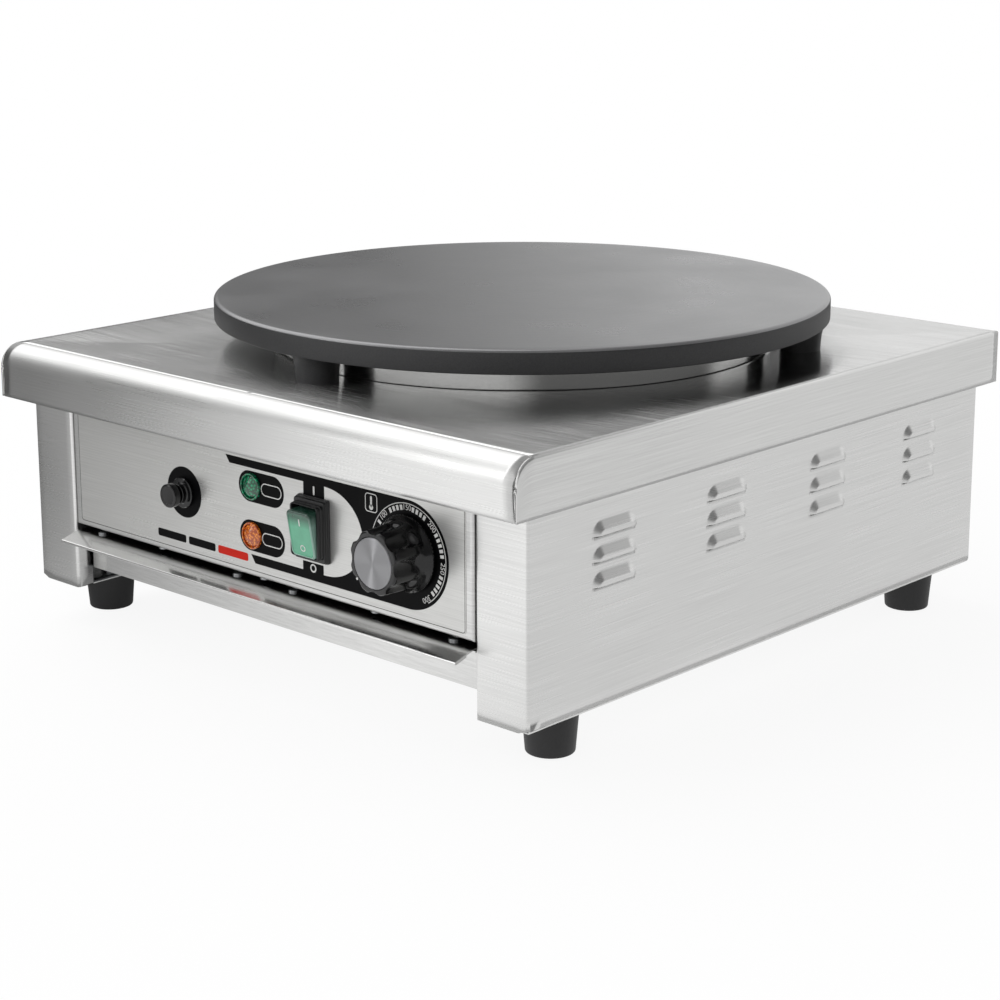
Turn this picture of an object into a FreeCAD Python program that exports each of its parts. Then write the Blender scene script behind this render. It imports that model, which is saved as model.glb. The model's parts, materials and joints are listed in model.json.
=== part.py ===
import FreeCAD, Part
import Sketcher
import os
import re
from math import cos, sin, tau

# Countertop electric crepe maker: a bent-sheet housing on four feet, a round
# cast griddle plate on three lugs, a front control panel and a pull-out tray.
# Millimetres. +X to the right seen from the front, +Y to the back, +Z up.
# The origin is on the counter, under the middle of the outer box.

# Driving dimensions: each pair is a name and a plain number.
SIZES = {
    # Housing of bent sheet
    "housing_width": 433.0,
    "housing_depth": 442.6,
    "housing_wall": 1.0,
    "bend_radius": 2.0,
    "post_width": 38.6,
    "post_return": 12.0,
    # Top cover with its round nose along the front
    "cover_top": 181.4,
    "cover_wall": 1.2,
    "cover_drop": 32.9,
    "cover_side": 8.9,
    "cover_front": 18.4,
    "cover_rear": 10.4,
    "cover_bend": 2.0,
    "nose_radius": 14.0,
    "nose_slit": 0.8,
    # Louvres pressed out of the side and rear walls
    "louvre_length": 38.5,
    "louvre_height": 8.4,
    "louvre_reach": 2.4,
    "louvre_slope": 5.2,
    "louvre_wall": 0.8,
    "louvre_inset": 1.2,
    "louvre_depth": 1.5,
    "louvre_base": 95.6,
    "louvre_rise": 14.6,
    "louvre_pitch": 101.2,
    "louvre_middle": 1.6,
    "rear_louvre_pitch": 160.0,
    # Rear panel and inner shelf
    "rear_panel_base": 30.0,
    "rear_flange": 14.0,
    "rear_screw_in": 26.0,
    "rear_screw_base": 48.0,
    "rear_screw_pitch": 50.0,
    "shelf_upturn": 15.0,
    # Control panel and its film
    "panel_gap": 1.3,
    "panel_base": 68.3,
    "panel_depth": 12.0,
    "tongue_gap": 1.2,
    "panel_screw_in": 6.0,
    "panel_screw_wide": 95.0,
    "film_side": 5.4,
    "film_margin": 3.2,
    "film_height": 86.0,
    "film_wall": 0.25,
    "film_corner": 2.5,
    # Pull-out tray
    "tray_base": 36.2,
    "tray_rim": 63.3,
    "tray_wall": 1.0,
    "tray_side_height": 20.0,
    "tray_side_gap": 6.0,
    "tray_front_gap": 1.0,
    "tray_length": 400.0,
    "lip_width": 351.2,
    "lip_reach": 13.7,
    "lip_fall": 4.0,
    "lip_hem": 9.0,
    "hem_radius": 0.9,
    "tray_screw_wide": 156.5,
    "tray_screw_near": 25.0,
    "tray_screw_in": 6.1,
    "runner_clearance": 0.2,
    "runner_wall": 1.0,
    "runner_width": 52.0,
    "runner_flange": 16.0,
    "runner_guide": 7.0,
    "guide_gap": 1.2,
    "runner_end_gap": 3.0,
    # Griddle plate
    "plate_radius": 200.0,
    "plate_thickness": 14.5,
    "plate_top": 212.4,
    "plate_chamfer": 1.6,
    "plate_shift": 11.4,
    "plate_recess": 2.5,
    "recess_rim": 12.0,
    "lug_inset": 18.0,
    "lug_foot": 12.9,
    "lug_head": 14.8,
    "lug_bore": 3.1,
    "lug_bore_depth": 16.0,
    "boss_radius": 13.0,
    # Heating set below the plate
    "pan_inset": 38.0,
    "pan_wall": 0.8,
    "pan_base": 148.0,
    "pan_clearance": 0.3,
    "opening_gap": 0.4,
    "insulation_height": 26.0,
    "loop_inset": 37.0,
    "inner_loop": 72.0,
    "element_radius": 4.2,
    "element_gap": 0.3,
    "element_sweep": 336.0,
    "elbow_radius": 5.0,
    "terminal_radius": 3.2,
    "terminal_length": 58.0,
    "terminal_gap": 0.4,
    "clamp_width": 16.0,
    "clamp_wall": 2.0,
    "clamp_over": 11.0,
    "stud_radius": 4.0,
    "stud_depth": 12.0,
    "stud_tail": 14.0,
    "nut_radius": 7.5,
    "nut_height": 6.5,
    "thread_gap": 0.05,
    "end_gap": 0.5,
    "hole_gap": 0.2,
    # Places of the controls on the panel
    "knob_x": 126.9,
    "knob_z": 109.4,
    "switch_x": 50.4,
    "switch_z": 108.7,
    "lamp_x": -4.0,
    "green_z": 124.2,
    "orange_z": 94.0,
    "reset_x": -66.4,
    "reset_z": 109.3,
    # Thermostat and its knob
    "knob_reach": 28.0,
    "knob_lift": 1.2,
    "skirt_radius": 22.3,
    "skirt_height": 2.2,
    "skirt_cone": 5.5,
    "grip_root": 19.8,
    "grip_low": 18.8,
    "grip_radius": 18.3,
    "grip_edge": 1.0,
    "flute_radius": 7.0,
    "flute_circle": 23.3,
    "cap_radius": 14.5,
    "cap_height": 1.0,
    "cap_proud": 0.3,
    "cap_gap": 0.1,
    "shaft_radius": 3.0,
    "shaft_clearance": 0.05,
    "shaft_reach": 18.0,
    "shaft_inside": 16.0,
    "shaft_hole": 5.0,
    "thermostat_width": 34.0,
    "thermostat_tall": 40.0,
    "thermostat_deep": 26.0,
    "neck_length": 6.0,
    "neck_radius": 9.0,
    # Rocker switch
    "switch_width": 26.5,
    "switch_tall": 38.4,
    "switch_step": 5.5,
    "frame_width": 24.6,
    "frame_tall": 35.2,
    "frame_top": 9.0,
    "rocker_radius": 17.5,
    "rocker_width": 20.4,
    "rocker_face": 10.7,
    "rocker_under": 4.0,
    "rocker_pivot": 1.5,
    "rocker_tilt": 9.5,
    "rocker_gap": 0.25,
    "pivot_radius": 1.5,
    "pivot_length": 1.5,
    "socket_radius": 1.56,
    "switch_neck_width": 24.2,
    "switch_neck_tall": 37.2,
    "switch_body_deep": 20.0,
    # Indicator lamps
    "lens_radius": 8.2,
    "lens_height": 3.6,
    "lens_edge": 1.2,
    "lamp_neck": 6.0,
    "lamp_radius": 7.5,
    "lamp_length": 26.0,
    # Over-temperature cut-out with its reset button
    "collar_radius": 9.6,
    "collar_height": 3.0,
    "reset_neck": 6.3,
    "neck_reach": 6.5,
    "stem_radius": 4.0,
    "stem_gap": 0.1,
    "reset_cap": 7.4,
    "reset_cap_base": 9.0,
    "reset_cap_height": 4.6,
    "stem_inside": 6.0,
    "stem_bore": 10.0,
    "cutout_width": 24.0,
    "cutout_deep": 24.0,
    # Supply entry and terminals at the rear
    "gland_x": -130.0,
    "gland_z": 92.0,
    "gland_hex": 11.5,
    "gland_hex_height": 4.0,
    "gland_dome": 9.6,
    "gland_tip": 8.0,
    "gland_reach": 9.6,
    "gland_barrel": 7.8,
    "gland_bore": 4.6,
    "gland_inside": 9.0,
    "block_inset": 70.0,
    "block_length": 58.0,
    "block_width": 22.0,
    "block_height": 19.0,
    # Feet
    "foot_height": 24.6,
    "foot_base_radius": 14.3,
    "foot_top_radius": 16.2,
    "foot_edge": 1.5,
    "foot_in": 19.7,
    "foot_front": 40.4,
    "foot_rear": 44.8,
    "foot_recess": 6.5,
    "foot_web": 9.0,
    "bolt_radius": 3.0,
    "bolt_head": 5.6,
    "bolt_head_height": 4.0,
    "foot_nut_height": 5.0,
    "bolt_end": 2.0,
    "lug_bolt_grip": 13.0,
    # Screws
    "screw_radius": 2.0,
    "screw_head": 3.8,
    "screw_head_height": 2.0,
    "screw_edge": 0.6,
    "screw_shank": 5.0,
    # How far a cutting tool reaches through a sheet
    "cut_reach": 8.0,
}

# Places worked out from the driving dimensions.
PLACES = {
    "middle": "(knob_reach - cover_rear) / 2",
    "half_width": "housing_width / 2",
    "half_depth": "housing_depth / 2",
    "housing_top": "cover_top - cover_wall",
    "wall_height": "housing_top - foot_height",
    "post_inner": "half_width - post_width",
    "panel_half": "post_inner - panel_gap",
    "shelf_base": "panel_base + housing_wall",
    "plate_base": "plate_top - plate_thickness",
    "lug_circle": "plate_radius - lug_inset",
    "pan_radius": "plate_radius - pan_inset",
    "outer_loop": "pan_radius - loop_inset",
    "clamp_span": "2 * (outer_loop + clamp_over)",
    "element_height": "plate_base + plate_recess - element_gap - element_radius",
    "clamp_top": "element_height - element_radius - element_gap",
    "recess_front": "half_depth - post_return",
    "rear_face": "half_depth - housing_wall",
    "inner_side": "half_width - housing_wall",
    "foot_x": "half_width - foot_in",
    "foot_front_y": "middle - half_depth + foot_front",
    "foot_rear_y": "middle + half_depth - foot_rear",
    "runner_top": "tray_base - runner_clearance",
    "tray_half": "post_inner - tray_side_gap",
    "handle_z": "tray_rim + tray_wall",
    "grip_base": "knob_lift + skirt_height + skirt_cone",
    "knob_top": "knob_reach - cap_proud",
    "screw_hole": "screw_radius + hole_gap",
    "block_y": "half_depth - block_inset",
}

# How a sub-part's own upward axis is turned.
UPRIGHT = FreeCAD.Rotation()
TO_FRONT = FreeCAD.Rotation(FreeCAD.Vector(1, 0, 0), 90)
TO_REAR = FreeCAD.Rotation(FreeCAD.Vector(1, 0, 0), -90)
TO_SIDE = FreeCAD.Rotation(FreeCAD.Vector(0, 1, 0), 90)
TO_RIGHT = FreeCAD.Rotation(FreeCAD.Vector(0, 0, 1), -90)
UPSIDE_DOWN = FreeCAD.Rotation(FreeCAD.Vector(1, 0, 0), 180)

# How a quarter cone is turned to round the left or the right end of a louvre.
LEFT_END = FreeCAD.Rotation(FreeCAD.Vector(-1, 0, 0), FreeCAD.Vector(0, 0, 1), FreeCAD.Vector(0, 1, 0))
RIGHT_END = FreeCAD.Rotation(FreeCAD.Vector(0, 0, 1), FreeCAD.Vector(1, 0, 0), FreeCAD.Vector(0, 1, 0))

# Where the three lugs stand round the plate's axis.
LUG_SPOTS = [("lug_circle * cos(%d)" % turn, "lug_circle * sin(%d)" % turn)
             for turn in (-90, 30, 150)]

# How far the four tray screws stand from the middle.
TRAY_SCREWS = ("0 - tray_screw_wide", "0 - tray_screw_near", "tray_screw_near", "tray_screw_wide")

doc = FreeCAD.newDocument("crepe_maker")
subparts = []


def make_sheet():
    """Writes the driving dimensions into a spreadsheet with one alias each."""
    sheet = doc.addObject("Spreadsheet::Sheet", "sizes")
    for row, (name, value) in enumerate(SIZES.items(), 1):
        sheet.set("A%d" % row, name)
        sheet.set("B%d" % row, str(value))
        sheet.setAlias("B%d" % row, name)
    doc.recompute()


def formula(text):
    """Turns the names of sizes and places in a text into sheet references."""
    def swap(match):
        word = match.group(0)
        if word in PLACES:
            return "(" + formula(PLACES[word]) + ")"
        if word in SIZES:
            return "sizes." + word
        return word
    return re.sub(r"[a-z][a-z_]*", swap, str(text))


def bind(thing, **texts):
    """Binds properties of an object to formulas of the sheet."""
    for name, text in texts.items():
        thing.setExpression(name, formula(text))


def bind_place(thing, x, y, z):
    """Binds the position of an object to three formulas."""
    for axis, text in zip("xyz", (x, y, z)):
        thing.setExpression("Placement.Base." + axis, formula(text))


def settle(thing, label, x=0, y="middle", z=0, turn=UPRIGHT):
    """Gives a sub-part its label and place, and adds it to the list."""
    thing.Label = label
    thing.Placement = FreeCAD.Placement(FreeCAD.Vector(), turn)
    bind_place(thing, x, y, z)
    subparts.append(thing)
    return thing


def new_body(label, x=0, y="middle", z=0, turn=UPRIGHT):
    """Starts a body, placed in the part's frame."""
    body = doc.addObject("PartDesign::Body", label)
    return settle(body, label, x, y, z, turn)


def at_plate(label):
    """Starts a body whose own axis is the axis of the griddle plate."""
    return new_body(label, y="middle + plate_shift")


def at_panel(label, x, z, turn=TO_FRONT):
    """Starts a body on the front face, with its own Z pointing out of it."""
    return new_body(label, x, "middle - half_depth", z, turn)


def block(body, size, corner, remove=False):
    """Adds or removes a box given by its size and its low corner."""
    kind = "Subtractive" if remove else "Additive"
    feature = body.newObject("PartDesign::%sBox" % kind, "block")
    bind(feature, Length=size[0], Width=size[1], Height=size[2])
    bind_place(feature, *corner)
    doc.recompute()
    return feature


def middle_block(body, size, z, remove=False, x=0, y=0):
    """Adds or removes a box centred on (x, y) that starts at height z."""
    corner = ("%s - (%s) / 2" % (x, size[0]), "%s - (%s) / 2" % (y, size[1]), z)
    return block(body, size, corner, remove)


def rod(body, radius, height, base=(0, 0, 0), turn=UPRIGHT, remove=False):
    """Adds or removes a cylinder that starts at base."""
    kind = "Subtractive" if remove else "Additive"
    feature = body.newObject("PartDesign::%sCylinder" % kind, "rod")
    bind(feature, Radius=radius, Height=height)
    feature.Placement = FreeCAD.Placement(FreeCAD.Vector(), turn)
    bind_place(feature, *base)
    doc.recompute()
    return feature


def cone(body, low, high, height, base=(0, 0, 0)):
    """Adds a cone with its lower radius at base."""
    feature = body.newObject("PartDesign::AdditiveCone", "cone")
    bind(feature, Radius1=low, Radius2=high, Height=height)
    bind_place(feature, *base)
    doc.recompute()
    return feature


def origin_part(body, name):
    """Finds one of the body's own axes or planes."""
    return next(item for item in body.Origin.OriginFeatures if item.Role == name)


def outline(body, plane, points):
    """Draws a closed outline whose corners are bound to pairs of formulas."""
    sketch = body.newObject("Sketcher::SketchObject", "outline")
    sketch.AttachmentSupport = [(origin_part(body, plane), "")]
    sketch.MapMode = "FlatFace"
    count = len(points)
    spots = [(cos(tau * index / count), sin(tau * index / count)) for index in range(count)]
    for index in range(count):
        start = FreeCAD.Vector(*spots[index], 0)
        end = FreeCAD.Vector(*spots[(index + 1) % count], 0)
        sketch.addGeometry(Part.LineSegment(start, end), False)
    for index in range(count):
        follower = (index + 1) % count
        sketch.addConstraint(Sketcher.Constraint("Coincident", index, 2, follower, 1))
    for index, pair in enumerate(points):
        for kind, text, value in zip(("DistanceX", "DistanceY"), pair, spots[index]):
            link = Sketcher.Constraint(kind, -1, 1, index, 1, value)
            number = sketch.addConstraint(link)
            sketch.setExpression("Constraints[%d]" % number, formula(text))
    doc.recompute()
    return sketch


def revolve(body, points):
    """Turns an outline of (radius, height) pairs about the body's own Z."""
    sketch = outline(body, "XZ_Plane", points)
    feature = body.newObject("PartDesign::Revolution", "revolve")
    feature.Profile = sketch
    feature.ReferenceAxis = (sketch, ["V_Axis"])
    feature.Angle = 360
    doc.recompute()
    return feature


def pad(body, plane, points, length):
    """Extrudes an outline to both sides of its plane."""
    sketch = outline(body, plane, points)
    feature = body.newObject("PartDesign::Pad", "pad")
    feature.Profile = sketch
    feature.SideType = "Symmetric"
    bind(feature, Length=length)
    doc.recompute()
    return feature


def names_of(shapes, kind, wanted):
    """Lists the names of the edges or faces for which a test holds."""
    return ["%s%d" % (kind, i) for i, shape in enumerate(shapes, 1) if wanted(shape)]


def dress(body, kind, base, names, **texts):
    """Adds a fillet, chamfer or thickness to named edges or faces."""
    if not names:
        raise RuntimeError("nothing to dress on " + body.Label)
    feature = body.newObject("PartDesign::" + kind, kind.lower())
    feature.Base = (base, names)
    bind(feature, **texts)
    return feature


def bend(body, base, radius, wanted):
    """Rounds the edges of the last feature for which a test holds."""
    names = names_of(base.Shape.Edges, "Edge", wanted)
    feature = dress(body, "Fillet", base, names, Radius=radius)
    doc.recompute()
    return feature


def bevel(body, base, size, wanted):
    """Chamfers the edges of the last feature for which a test holds."""
    names = names_of(base.Shape.Edges, "Edge", wanted)
    feature = dress(body, "Chamfer", base, names, Size=size)
    doc.recompute()
    return feature


def hollow(body, base, wall, wanted):
    """Leaves a sheet of even wall, open at the faces for which a test holds."""
    names = names_of(base.Shape.Faces, "Face", wanted)
    feature = dress(body, "Thickness", base, names, Value=wall)
    feature.Reversed = True
    doc.recompute()
    return feature


def repeat(body, features, count, angle=360):
    """Repeats features evenly about the body's own Z."""
    pattern = body.newObject("PartDesign::PolarPattern", "round_pattern")
    pattern.Originals = features
    pattern.Axis = (origin_part(body, "Z_Axis"), [""])
    pattern.Angle = angle
    pattern.Occurrences = count
    body.Tip = pattern
    doc.recompute()
    return pattern


def along(edge, axis):
    """Tells whether an edge is straight and runs along one axis."""
    box = edge.BoundBox
    spans = {"x": box.XLength, "y": box.YLength, "z": box.ZLength}
    return all(spans[name] < 0.01 for name in spans if name != axis)


def at_end(base, axis, high=True):
    """Returns a test for faces and edges lying at one end of a feature."""
    low_name, high_name = axis.upper() + "Min", axis.upper() + "Max"
    end = getattr(base.Shape.BoundBox, high_name if high else low_name)

    def test(shape):
        low, top = (getattr(shape.BoundBox, name) for name in (low_name, high_name))
        return max(abs(low - end), abs(top - end)) < 0.01
    return test


def row(body, features, axis, pitch, count):
    """Repeats features along one of the body's own axes."""
    pattern = body.newObject("PartDesign::LinearPattern", "row")
    pattern.Originals = features
    set_row(body, pattern, axis, pitch, count)
    body.Tip = pattern
    doc.recompute()
    return pattern


def set_row(body, pattern, axis, pitch, count):
    """Sets the direction, length and number of a straight pattern."""
    pattern.Direction = (origin_part(body, axis), [""])
    pattern.Occurrences = count
    bind(pattern, Length="(%s) * %d" % (pitch, count - 1))


def grid(body, feature, first, second):
    """Repeats one feature in two directions, each (axis, pitch, count)."""
    lines = []
    for axis, pitch, count in (first, second):
        line = body.newObject("PartDesign::LinearPattern", "line")
        set_row(body, line, axis, pitch, count)
        lines.append(line)
    pattern = body.newObject("PartDesign::MultiTransform", "grid")
    pattern.Originals = [feature]
    pattern.Transformations = lines
    body.Tip = pattern
    doc.recompute()
    return pattern


def ridge(body, sizes, base, turn, remove=False):
    """Adds or removes a bar of trapezoid section that narrows along its own Y."""
    kind = "Subtractive" if remove else "Additive"
    feature = body.newObject("PartDesign::%sWedge" % kind, "ridge")
    start, stop, reach, low, high = sizes
    bind(feature, Xmin=start, Xmax=stop, X2min=start, X2max=stop, Ymin=0, Ymax=reach,
         Zmin=0, Zmax=low, Z2min=0, Z2max=high)
    feature.Placement = FreeCAD.Placement(FreeCAD.Vector(), turn)
    bind_place(feature, *base)
    doc.recompute()
    return feature


def round_end(body, sizes, base, turn, remove=False):
    """Adds or removes a quarter of a cone that rounds one end of a ridge."""
    kind = "Subtractive" if remove else "Additive"
    feature = body.newObject("PartDesign::%sCone" % kind, "round_end")
    reach, low, high = sizes
    bind(feature, Radius1=low, Radius2=high, Height=reach)
    feature.Angle = 90
    feature.Placement = FreeCAD.Placement(FreeCAD.Vector(), turn)
    bind_place(feature, *base)
    doc.recompute()
    return feature


def beside(base, turn, length, out):
    """Moves a place by a length along a louvre and by another one outwards."""
    steps = [turn.multVec(FreeCAD.Vector(*way)) for way in ((1, 0, 0), (0, 1, 0))]
    return tuple("%s + (%s) * %d + (%s) * %d" % (text, length, round(first), out, round(second))
                 for text, first, second in zip(base, *steps))


def hoods(body, base, turn, sizes, out, lines, remove=False):
    """Adds or removes hoods in rows: ridges, then a quarter cone at each end."""
    start, stop = "louvre_height", "louvre_length - louvre_height"
    bar = ridge(body, (start, stop) + sizes, beside(base, turn, 0, out), turn, remove)
    grid(body, bar, *lines)
    for place, way in ((start, LEFT_END), (stop, RIGHT_END)):
        spot = beside(base, turn, place, out)
        end = round_end(body, sizes, spot, turn.multiply(way), remove)
        grid(body, end, *lines)


def louvres(body, base, turn, across, pitch, columns):
    """Presses rows of louvres, open below, out of a wall of sheet metal."""
    lines = ((across, pitch, columns), ("Z_Axis", "louvre_rise", 3))
    outer = ("louvre_reach", "louvre_height", "louvre_height - louvre_slope")
    hoods(body, base, turn, outer, 0, lines)
    cavity = ("louvre_reach - louvre_wall + louvre_depth", "louvre_height - louvre_inset",
              "louvre_height - louvre_slope - louvre_wall / 4")
    hoods(body, base, turn, cavity, "0 - louvre_depth", lines, remove=True)


def rear_screw_holes(body, sides):
    """Drills the screw holes that join the rear panel to the side panels."""
    for side in sides:
        base = ("%d * (half_width - rear_screw_in)" % side, "half_depth - cut_reach / 2",
                "rear_screw_base")
        hole = rod(body, "screw_hole", "cut_reach", base, TO_REAR, remove=True)
        row(body, [hole], "Z_Axis", "rear_screw_pitch", 3)


def screws(body, spots):
    """Adds pan-head screws whose heads stand on the body's own XY plane."""
    for x, y in spots:
        rod(body, "screw_head", "screw_head_height", (x, y, 0))
        last = rod(body, "screw_radius", "screw_shank", (x, y, "0 - screw_shank"))
    bevel(body, last, "screw_edge", at_end(last, "z"))


def hexagon(body, radius, height, place):
    """Adds a hexagonal prism that starts at place."""
    feature = body.newObject("PartDesign::AdditivePrism", "hexagon")
    feature.Polygon = 6
    bind(feature, Circumradius=radius, Height=height)
    bind_place(feature, *place)
    doc.recompute()
    return feature


def hex_nut(body, radius, height, bore, place):
    """Adds a hexagonal nut with its bore."""
    hexagon(body, radius, height, place)
    x, y, z = place
    rod(body, bore, "(%s) + cut_reach" % height, (x, y, "(%s) - cut_reach / 2" % z), remove=True)


def top_cover():
    """Top sheet with a round nose along the front and turned-down sides."""
    body = new_body("top_cover")
    size = ("housing_width + 2 * cover_side", "housing_depth + cover_front + cover_rear",
            "cover_drop")
    corner = ("0 - half_width - cover_side", "0 - half_depth - cover_front",
              "cover_top - cover_drop")
    sheet = block(body, size, corner)
    top, front = at_end(sheet, "z"), at_end(sheet, "y", high=False)
    nose = bend(body, sheet, "nose_radius", lambda edge: top(edge) and front(edge))
    top, rear, right = at_end(nose, "z"), at_end(nose, "y"), at_end(nose, "x")
    left = at_end(nose, "x", high=False)
    sheet = bend(body, nose, "cover_bend",
                 lambda edge: top(edge) and (rear(edge) or right(edge) or left(edge)))
    hollow(body, sheet, "cover_wall", at_end(sheet, "z", high=False))
    size = ("nose_slit", "nose_radius + cut_reach", "cover_drop + cut_reach")
    for side in (-1, 1):
        x = "%d * (half_width + cover_side - cover_wall - nose_slit / 2)" % side
        middle_block(body, size, "cover_top - cover_drop - cut_reach / 2", True,
                     x, "(nose_radius - cut_reach) / 2 - half_depth - cover_front")
    low = "cover_top - cut_reach / 2"
    rod(body, "pan_radius + opening_gap", "cut_reach", (0, "plate_shift", low), remove=True)
    for x, y in LUG_SPOTS:
        rod(body, "bolt_radius + hole_gap", "cut_reach", (x, "plate_shift + " + y, low), remove=True)


def side_panels():
    """Side sheets with front post, rear flange, floor flange and louvres."""
    body = new_body("side_panel_right")
    size = ("post_width", "housing_depth", "wall_height")
    sheet = block(body, size, ("post_inner", "0 - half_depth", "foot_height"))
    outer, bottom = at_end(sheet, "x"), at_end(sheet, "z", high=False)
    front = at_end(sheet, "y", high=False)

    def bent(edge):
        upright = along(edge, "z") and (outer(edge) or front(edge))
        return upright or (outer(edge) and bottom(edge))
    sheet = bend(body, sheet, "bend_radius", bent)
    hollow(body, sheet, "housing_wall", at_end(sheet, "z"))
    size = ("2 * housing_wall", "housing_depth - post_return - housing_wall", "wall_height")
    corner = ("post_inner - housing_wall", "post_return - half_depth",
              "foot_height + housing_wall")
    block(body, size, corner, remove=True)
    base = ("half_width", "louvre_middle - 1.5 * louvre_pitch + louvre_length / 2",
            "louvre_base")
    louvres(body, base, TO_RIGHT, "Y_Axis", "louvre_pitch", 4)
    for y in ("foot_front - half_depth", "half_depth - foot_rear"):
        rod(body, "bolt_radius + hole_gap", "cut_reach", ("foot_x", y, "foot_height - cut_reach / 2"),
            remove=True)
    rear_screw_holes(body, (1,))
    left = doc.addObject("Part::Mirroring", "side_panel_left")
    left.Source = body
    left.Normal = FreeCAD.Vector(1, 0, 0)
    left.Label = "side_panel_left"
    subparts.append(left)


def rear_panel():
    """Rear sheet inside the flanges of the side panels, with two louvre rows."""
    body = new_body("rear_panel")
    size = ("2 * (inner_side - bend_radius)", "housing_wall", "housing_top - rear_panel_base")
    middle_block(body, size, "rear_panel_base", y="rear_face - housing_wall / 2")
    size = ("2 * (inner_side - bend_radius)", "rear_flange", "housing_wall")
    middle_block(body, size, "rear_panel_base", y="rear_face - rear_flange / 2")
    base = ("0 - rear_louvre_pitch / 2 - louvre_length / 2", "rear_face", "louvre_base")
    louvres(body, base, UPRIGHT, "X_Axis", "rear_louvre_pitch", 2)
    rod(body, "gland_barrel + hole_gap", "cut_reach",
        ("gland_x", "rear_face - cut_reach / 2", "gland_z"), TO_REAR, remove=True)
    rear_screw_holes(body, (-1, 1))


def component_shelf():
    """Inner floor above the tray, with turned-up sides and a front tongue."""
    body = new_body("component_shelf")
    depth = "rear_face - housing_wall - hole_gap + recess_front - hole_gap"
    size = ("2 * inner_side", depth, "shelf_upturn")
    sheet = block(body, size, ("0 - inner_side", "hole_gap - recess_front", "shelf_base"))
    top, front, rear = at_end(sheet, "z"), at_end(sheet, "y", False), at_end(sheet, "y")
    hollow(body, sheet, "housing_wall", lambda face: top(face) or front(face) or rear(face))
    size = ("2 * (panel_half - tongue_gap)", "panel_depth - bend_radius", "housing_wall")
    middle_block(body, size, "shelf_base", y="hole_gap - half_depth + bend_radius + (%s) / 2" % size[1])
    for x in ("0 - panel_screw_wide", 0, "panel_screw_wide"):
        rod(body, "screw_hole", "cut_reach",
            (x, "panel_screw_in - half_depth", "shelf_base - cut_reach / 2"), remove=True)


def control_panel():
    """Front sheet between the posts, with the openings for the controls."""
    body = new_body("control_panel")
    size = ("2 * panel_half", "panel_depth", "housing_top - panel_base")
    sheet = block(body, size, ("0 - panel_half", "0 - half_depth", "panel_base"))
    front, top = at_end(sheet, "y", high=False), at_end(sheet, "z")
    sheet = bend(body, sheet, "bend_radius", lambda edge: front(edge) and not top(edge))
    top, rear = at_end(sheet, "z"), at_end(sheet, "y")
    hollow(body, sheet, "housing_wall", lambda face: top(face) or rear(face))
    control_openings(body)
    for x in ("0 - panel_screw_wide", 0, "panel_screw_wide"):
        rod(body, "screw_hole", "cut_reach",
            (x, "panel_screw_in - half_depth", "panel_base - cut_reach / 2"), remove=True)


def control_openings(body):
    """Cuts the openings for shaft, lamps, reset and switch through a sheet."""
    rounds = (("knob_x", "knob_z", "shaft_hole"), ("lamp_x", "green_z", "lamp_neck + hole_gap"),
              ("lamp_x", "orange_z", "lamp_neck + hole_gap"),
              ("reset_x", "reset_z", "reset_neck + hole_gap"))
    for x, z, radius in rounds:
        rod(body, radius, "cut_reach", (x, "0 - half_depth - cut_reach / 2", z), TO_REAR, remove=True)
    size = ("switch_neck_width + hole_gap", "cut_reach", "switch_neck_tall + hole_gap")
    middle_block(body, size, "switch_z - (%s) / 2" % size[2], True,
                 "switch_x", "0 - half_depth")


def panel_film():
    """Thin printed sheet on the front of the control panel."""
    body = new_body("panel_film")
    size = ("2 * (panel_half - film_side)", "film_wall", "film_height")
    sheet = middle_block(body, size, "panel_base + film_margin", y="0 - half_depth - film_wall / 2")
    bend(body, sheet, "film_corner", lambda edge: along(edge, "y"))
    control_openings(body)


def tray_pan():
    """Pull-out tray with a tall front wall and a flange for its handle."""
    body = new_body("tray_pan")
    size = ("2 * tray_half", "tray_length", "tray_side_height")
    sheet = middle_block(body, size, "tray_base", y="tray_length / 2 - recess_front")
    hollow(body, sheet, "tray_wall", at_end(sheet, "z"))
    size = ("2 * (post_inner - tray_front_gap)", "tray_wall", "tray_rim - tray_base")
    middle_block(body, size, "tray_base", y="tray_wall / 2 - recess_front")
    size = (size[0], "post_return", "tray_wall")
    middle_block(body, size, "tray_rim - tray_wall", y="tray_wall - post_return / 2 - recess_front")
    for x in TRAY_SCREWS:
        rod(body, "screw_hole", "cut_reach",
            (x, "tray_screw_in - half_depth", "tray_rim - cut_reach / 2"), remove=True)


def tray_handle():
    """Folded strip on the tray's flange, sloping down to a hemmed edge."""
    body = new_body("tray_handle")
    tip, fall = "0 - half_depth - lip_reach", "handle_z - lip_fall"
    hem = ("%s + lip_hem" % tip, "%s + lip_hem * lip_fall / lip_reach" % fall)
    points = [("tray_wall - recess_front", "handle_z"), ("0 - half_depth", "handle_z"),
              (tip, fall), (tip, fall + " - 2 * tray_wall"),
              (hem[0], hem[1] + " - 2 * tray_wall"), (hem[0], hem[1] + " - tray_wall"),
              ("0 - half_depth", "tray_rim"), ("tray_wall - recess_front", "tray_rim")]
    strip = pad(body, "YZ_Plane", points, "lip_width")
    tip_end = at_end(strip, "y", high=False)
    bend(body, strip, "hem_radius", lambda edge: tip_end(edge) and along(edge, "x"))
    for x in TRAY_SCREWS:
        rod(body, "screw_hole", "cut_reach",
            (x, "tray_screw_in - half_depth", "tray_rim - cut_reach / 2"), remove=True)


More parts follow.
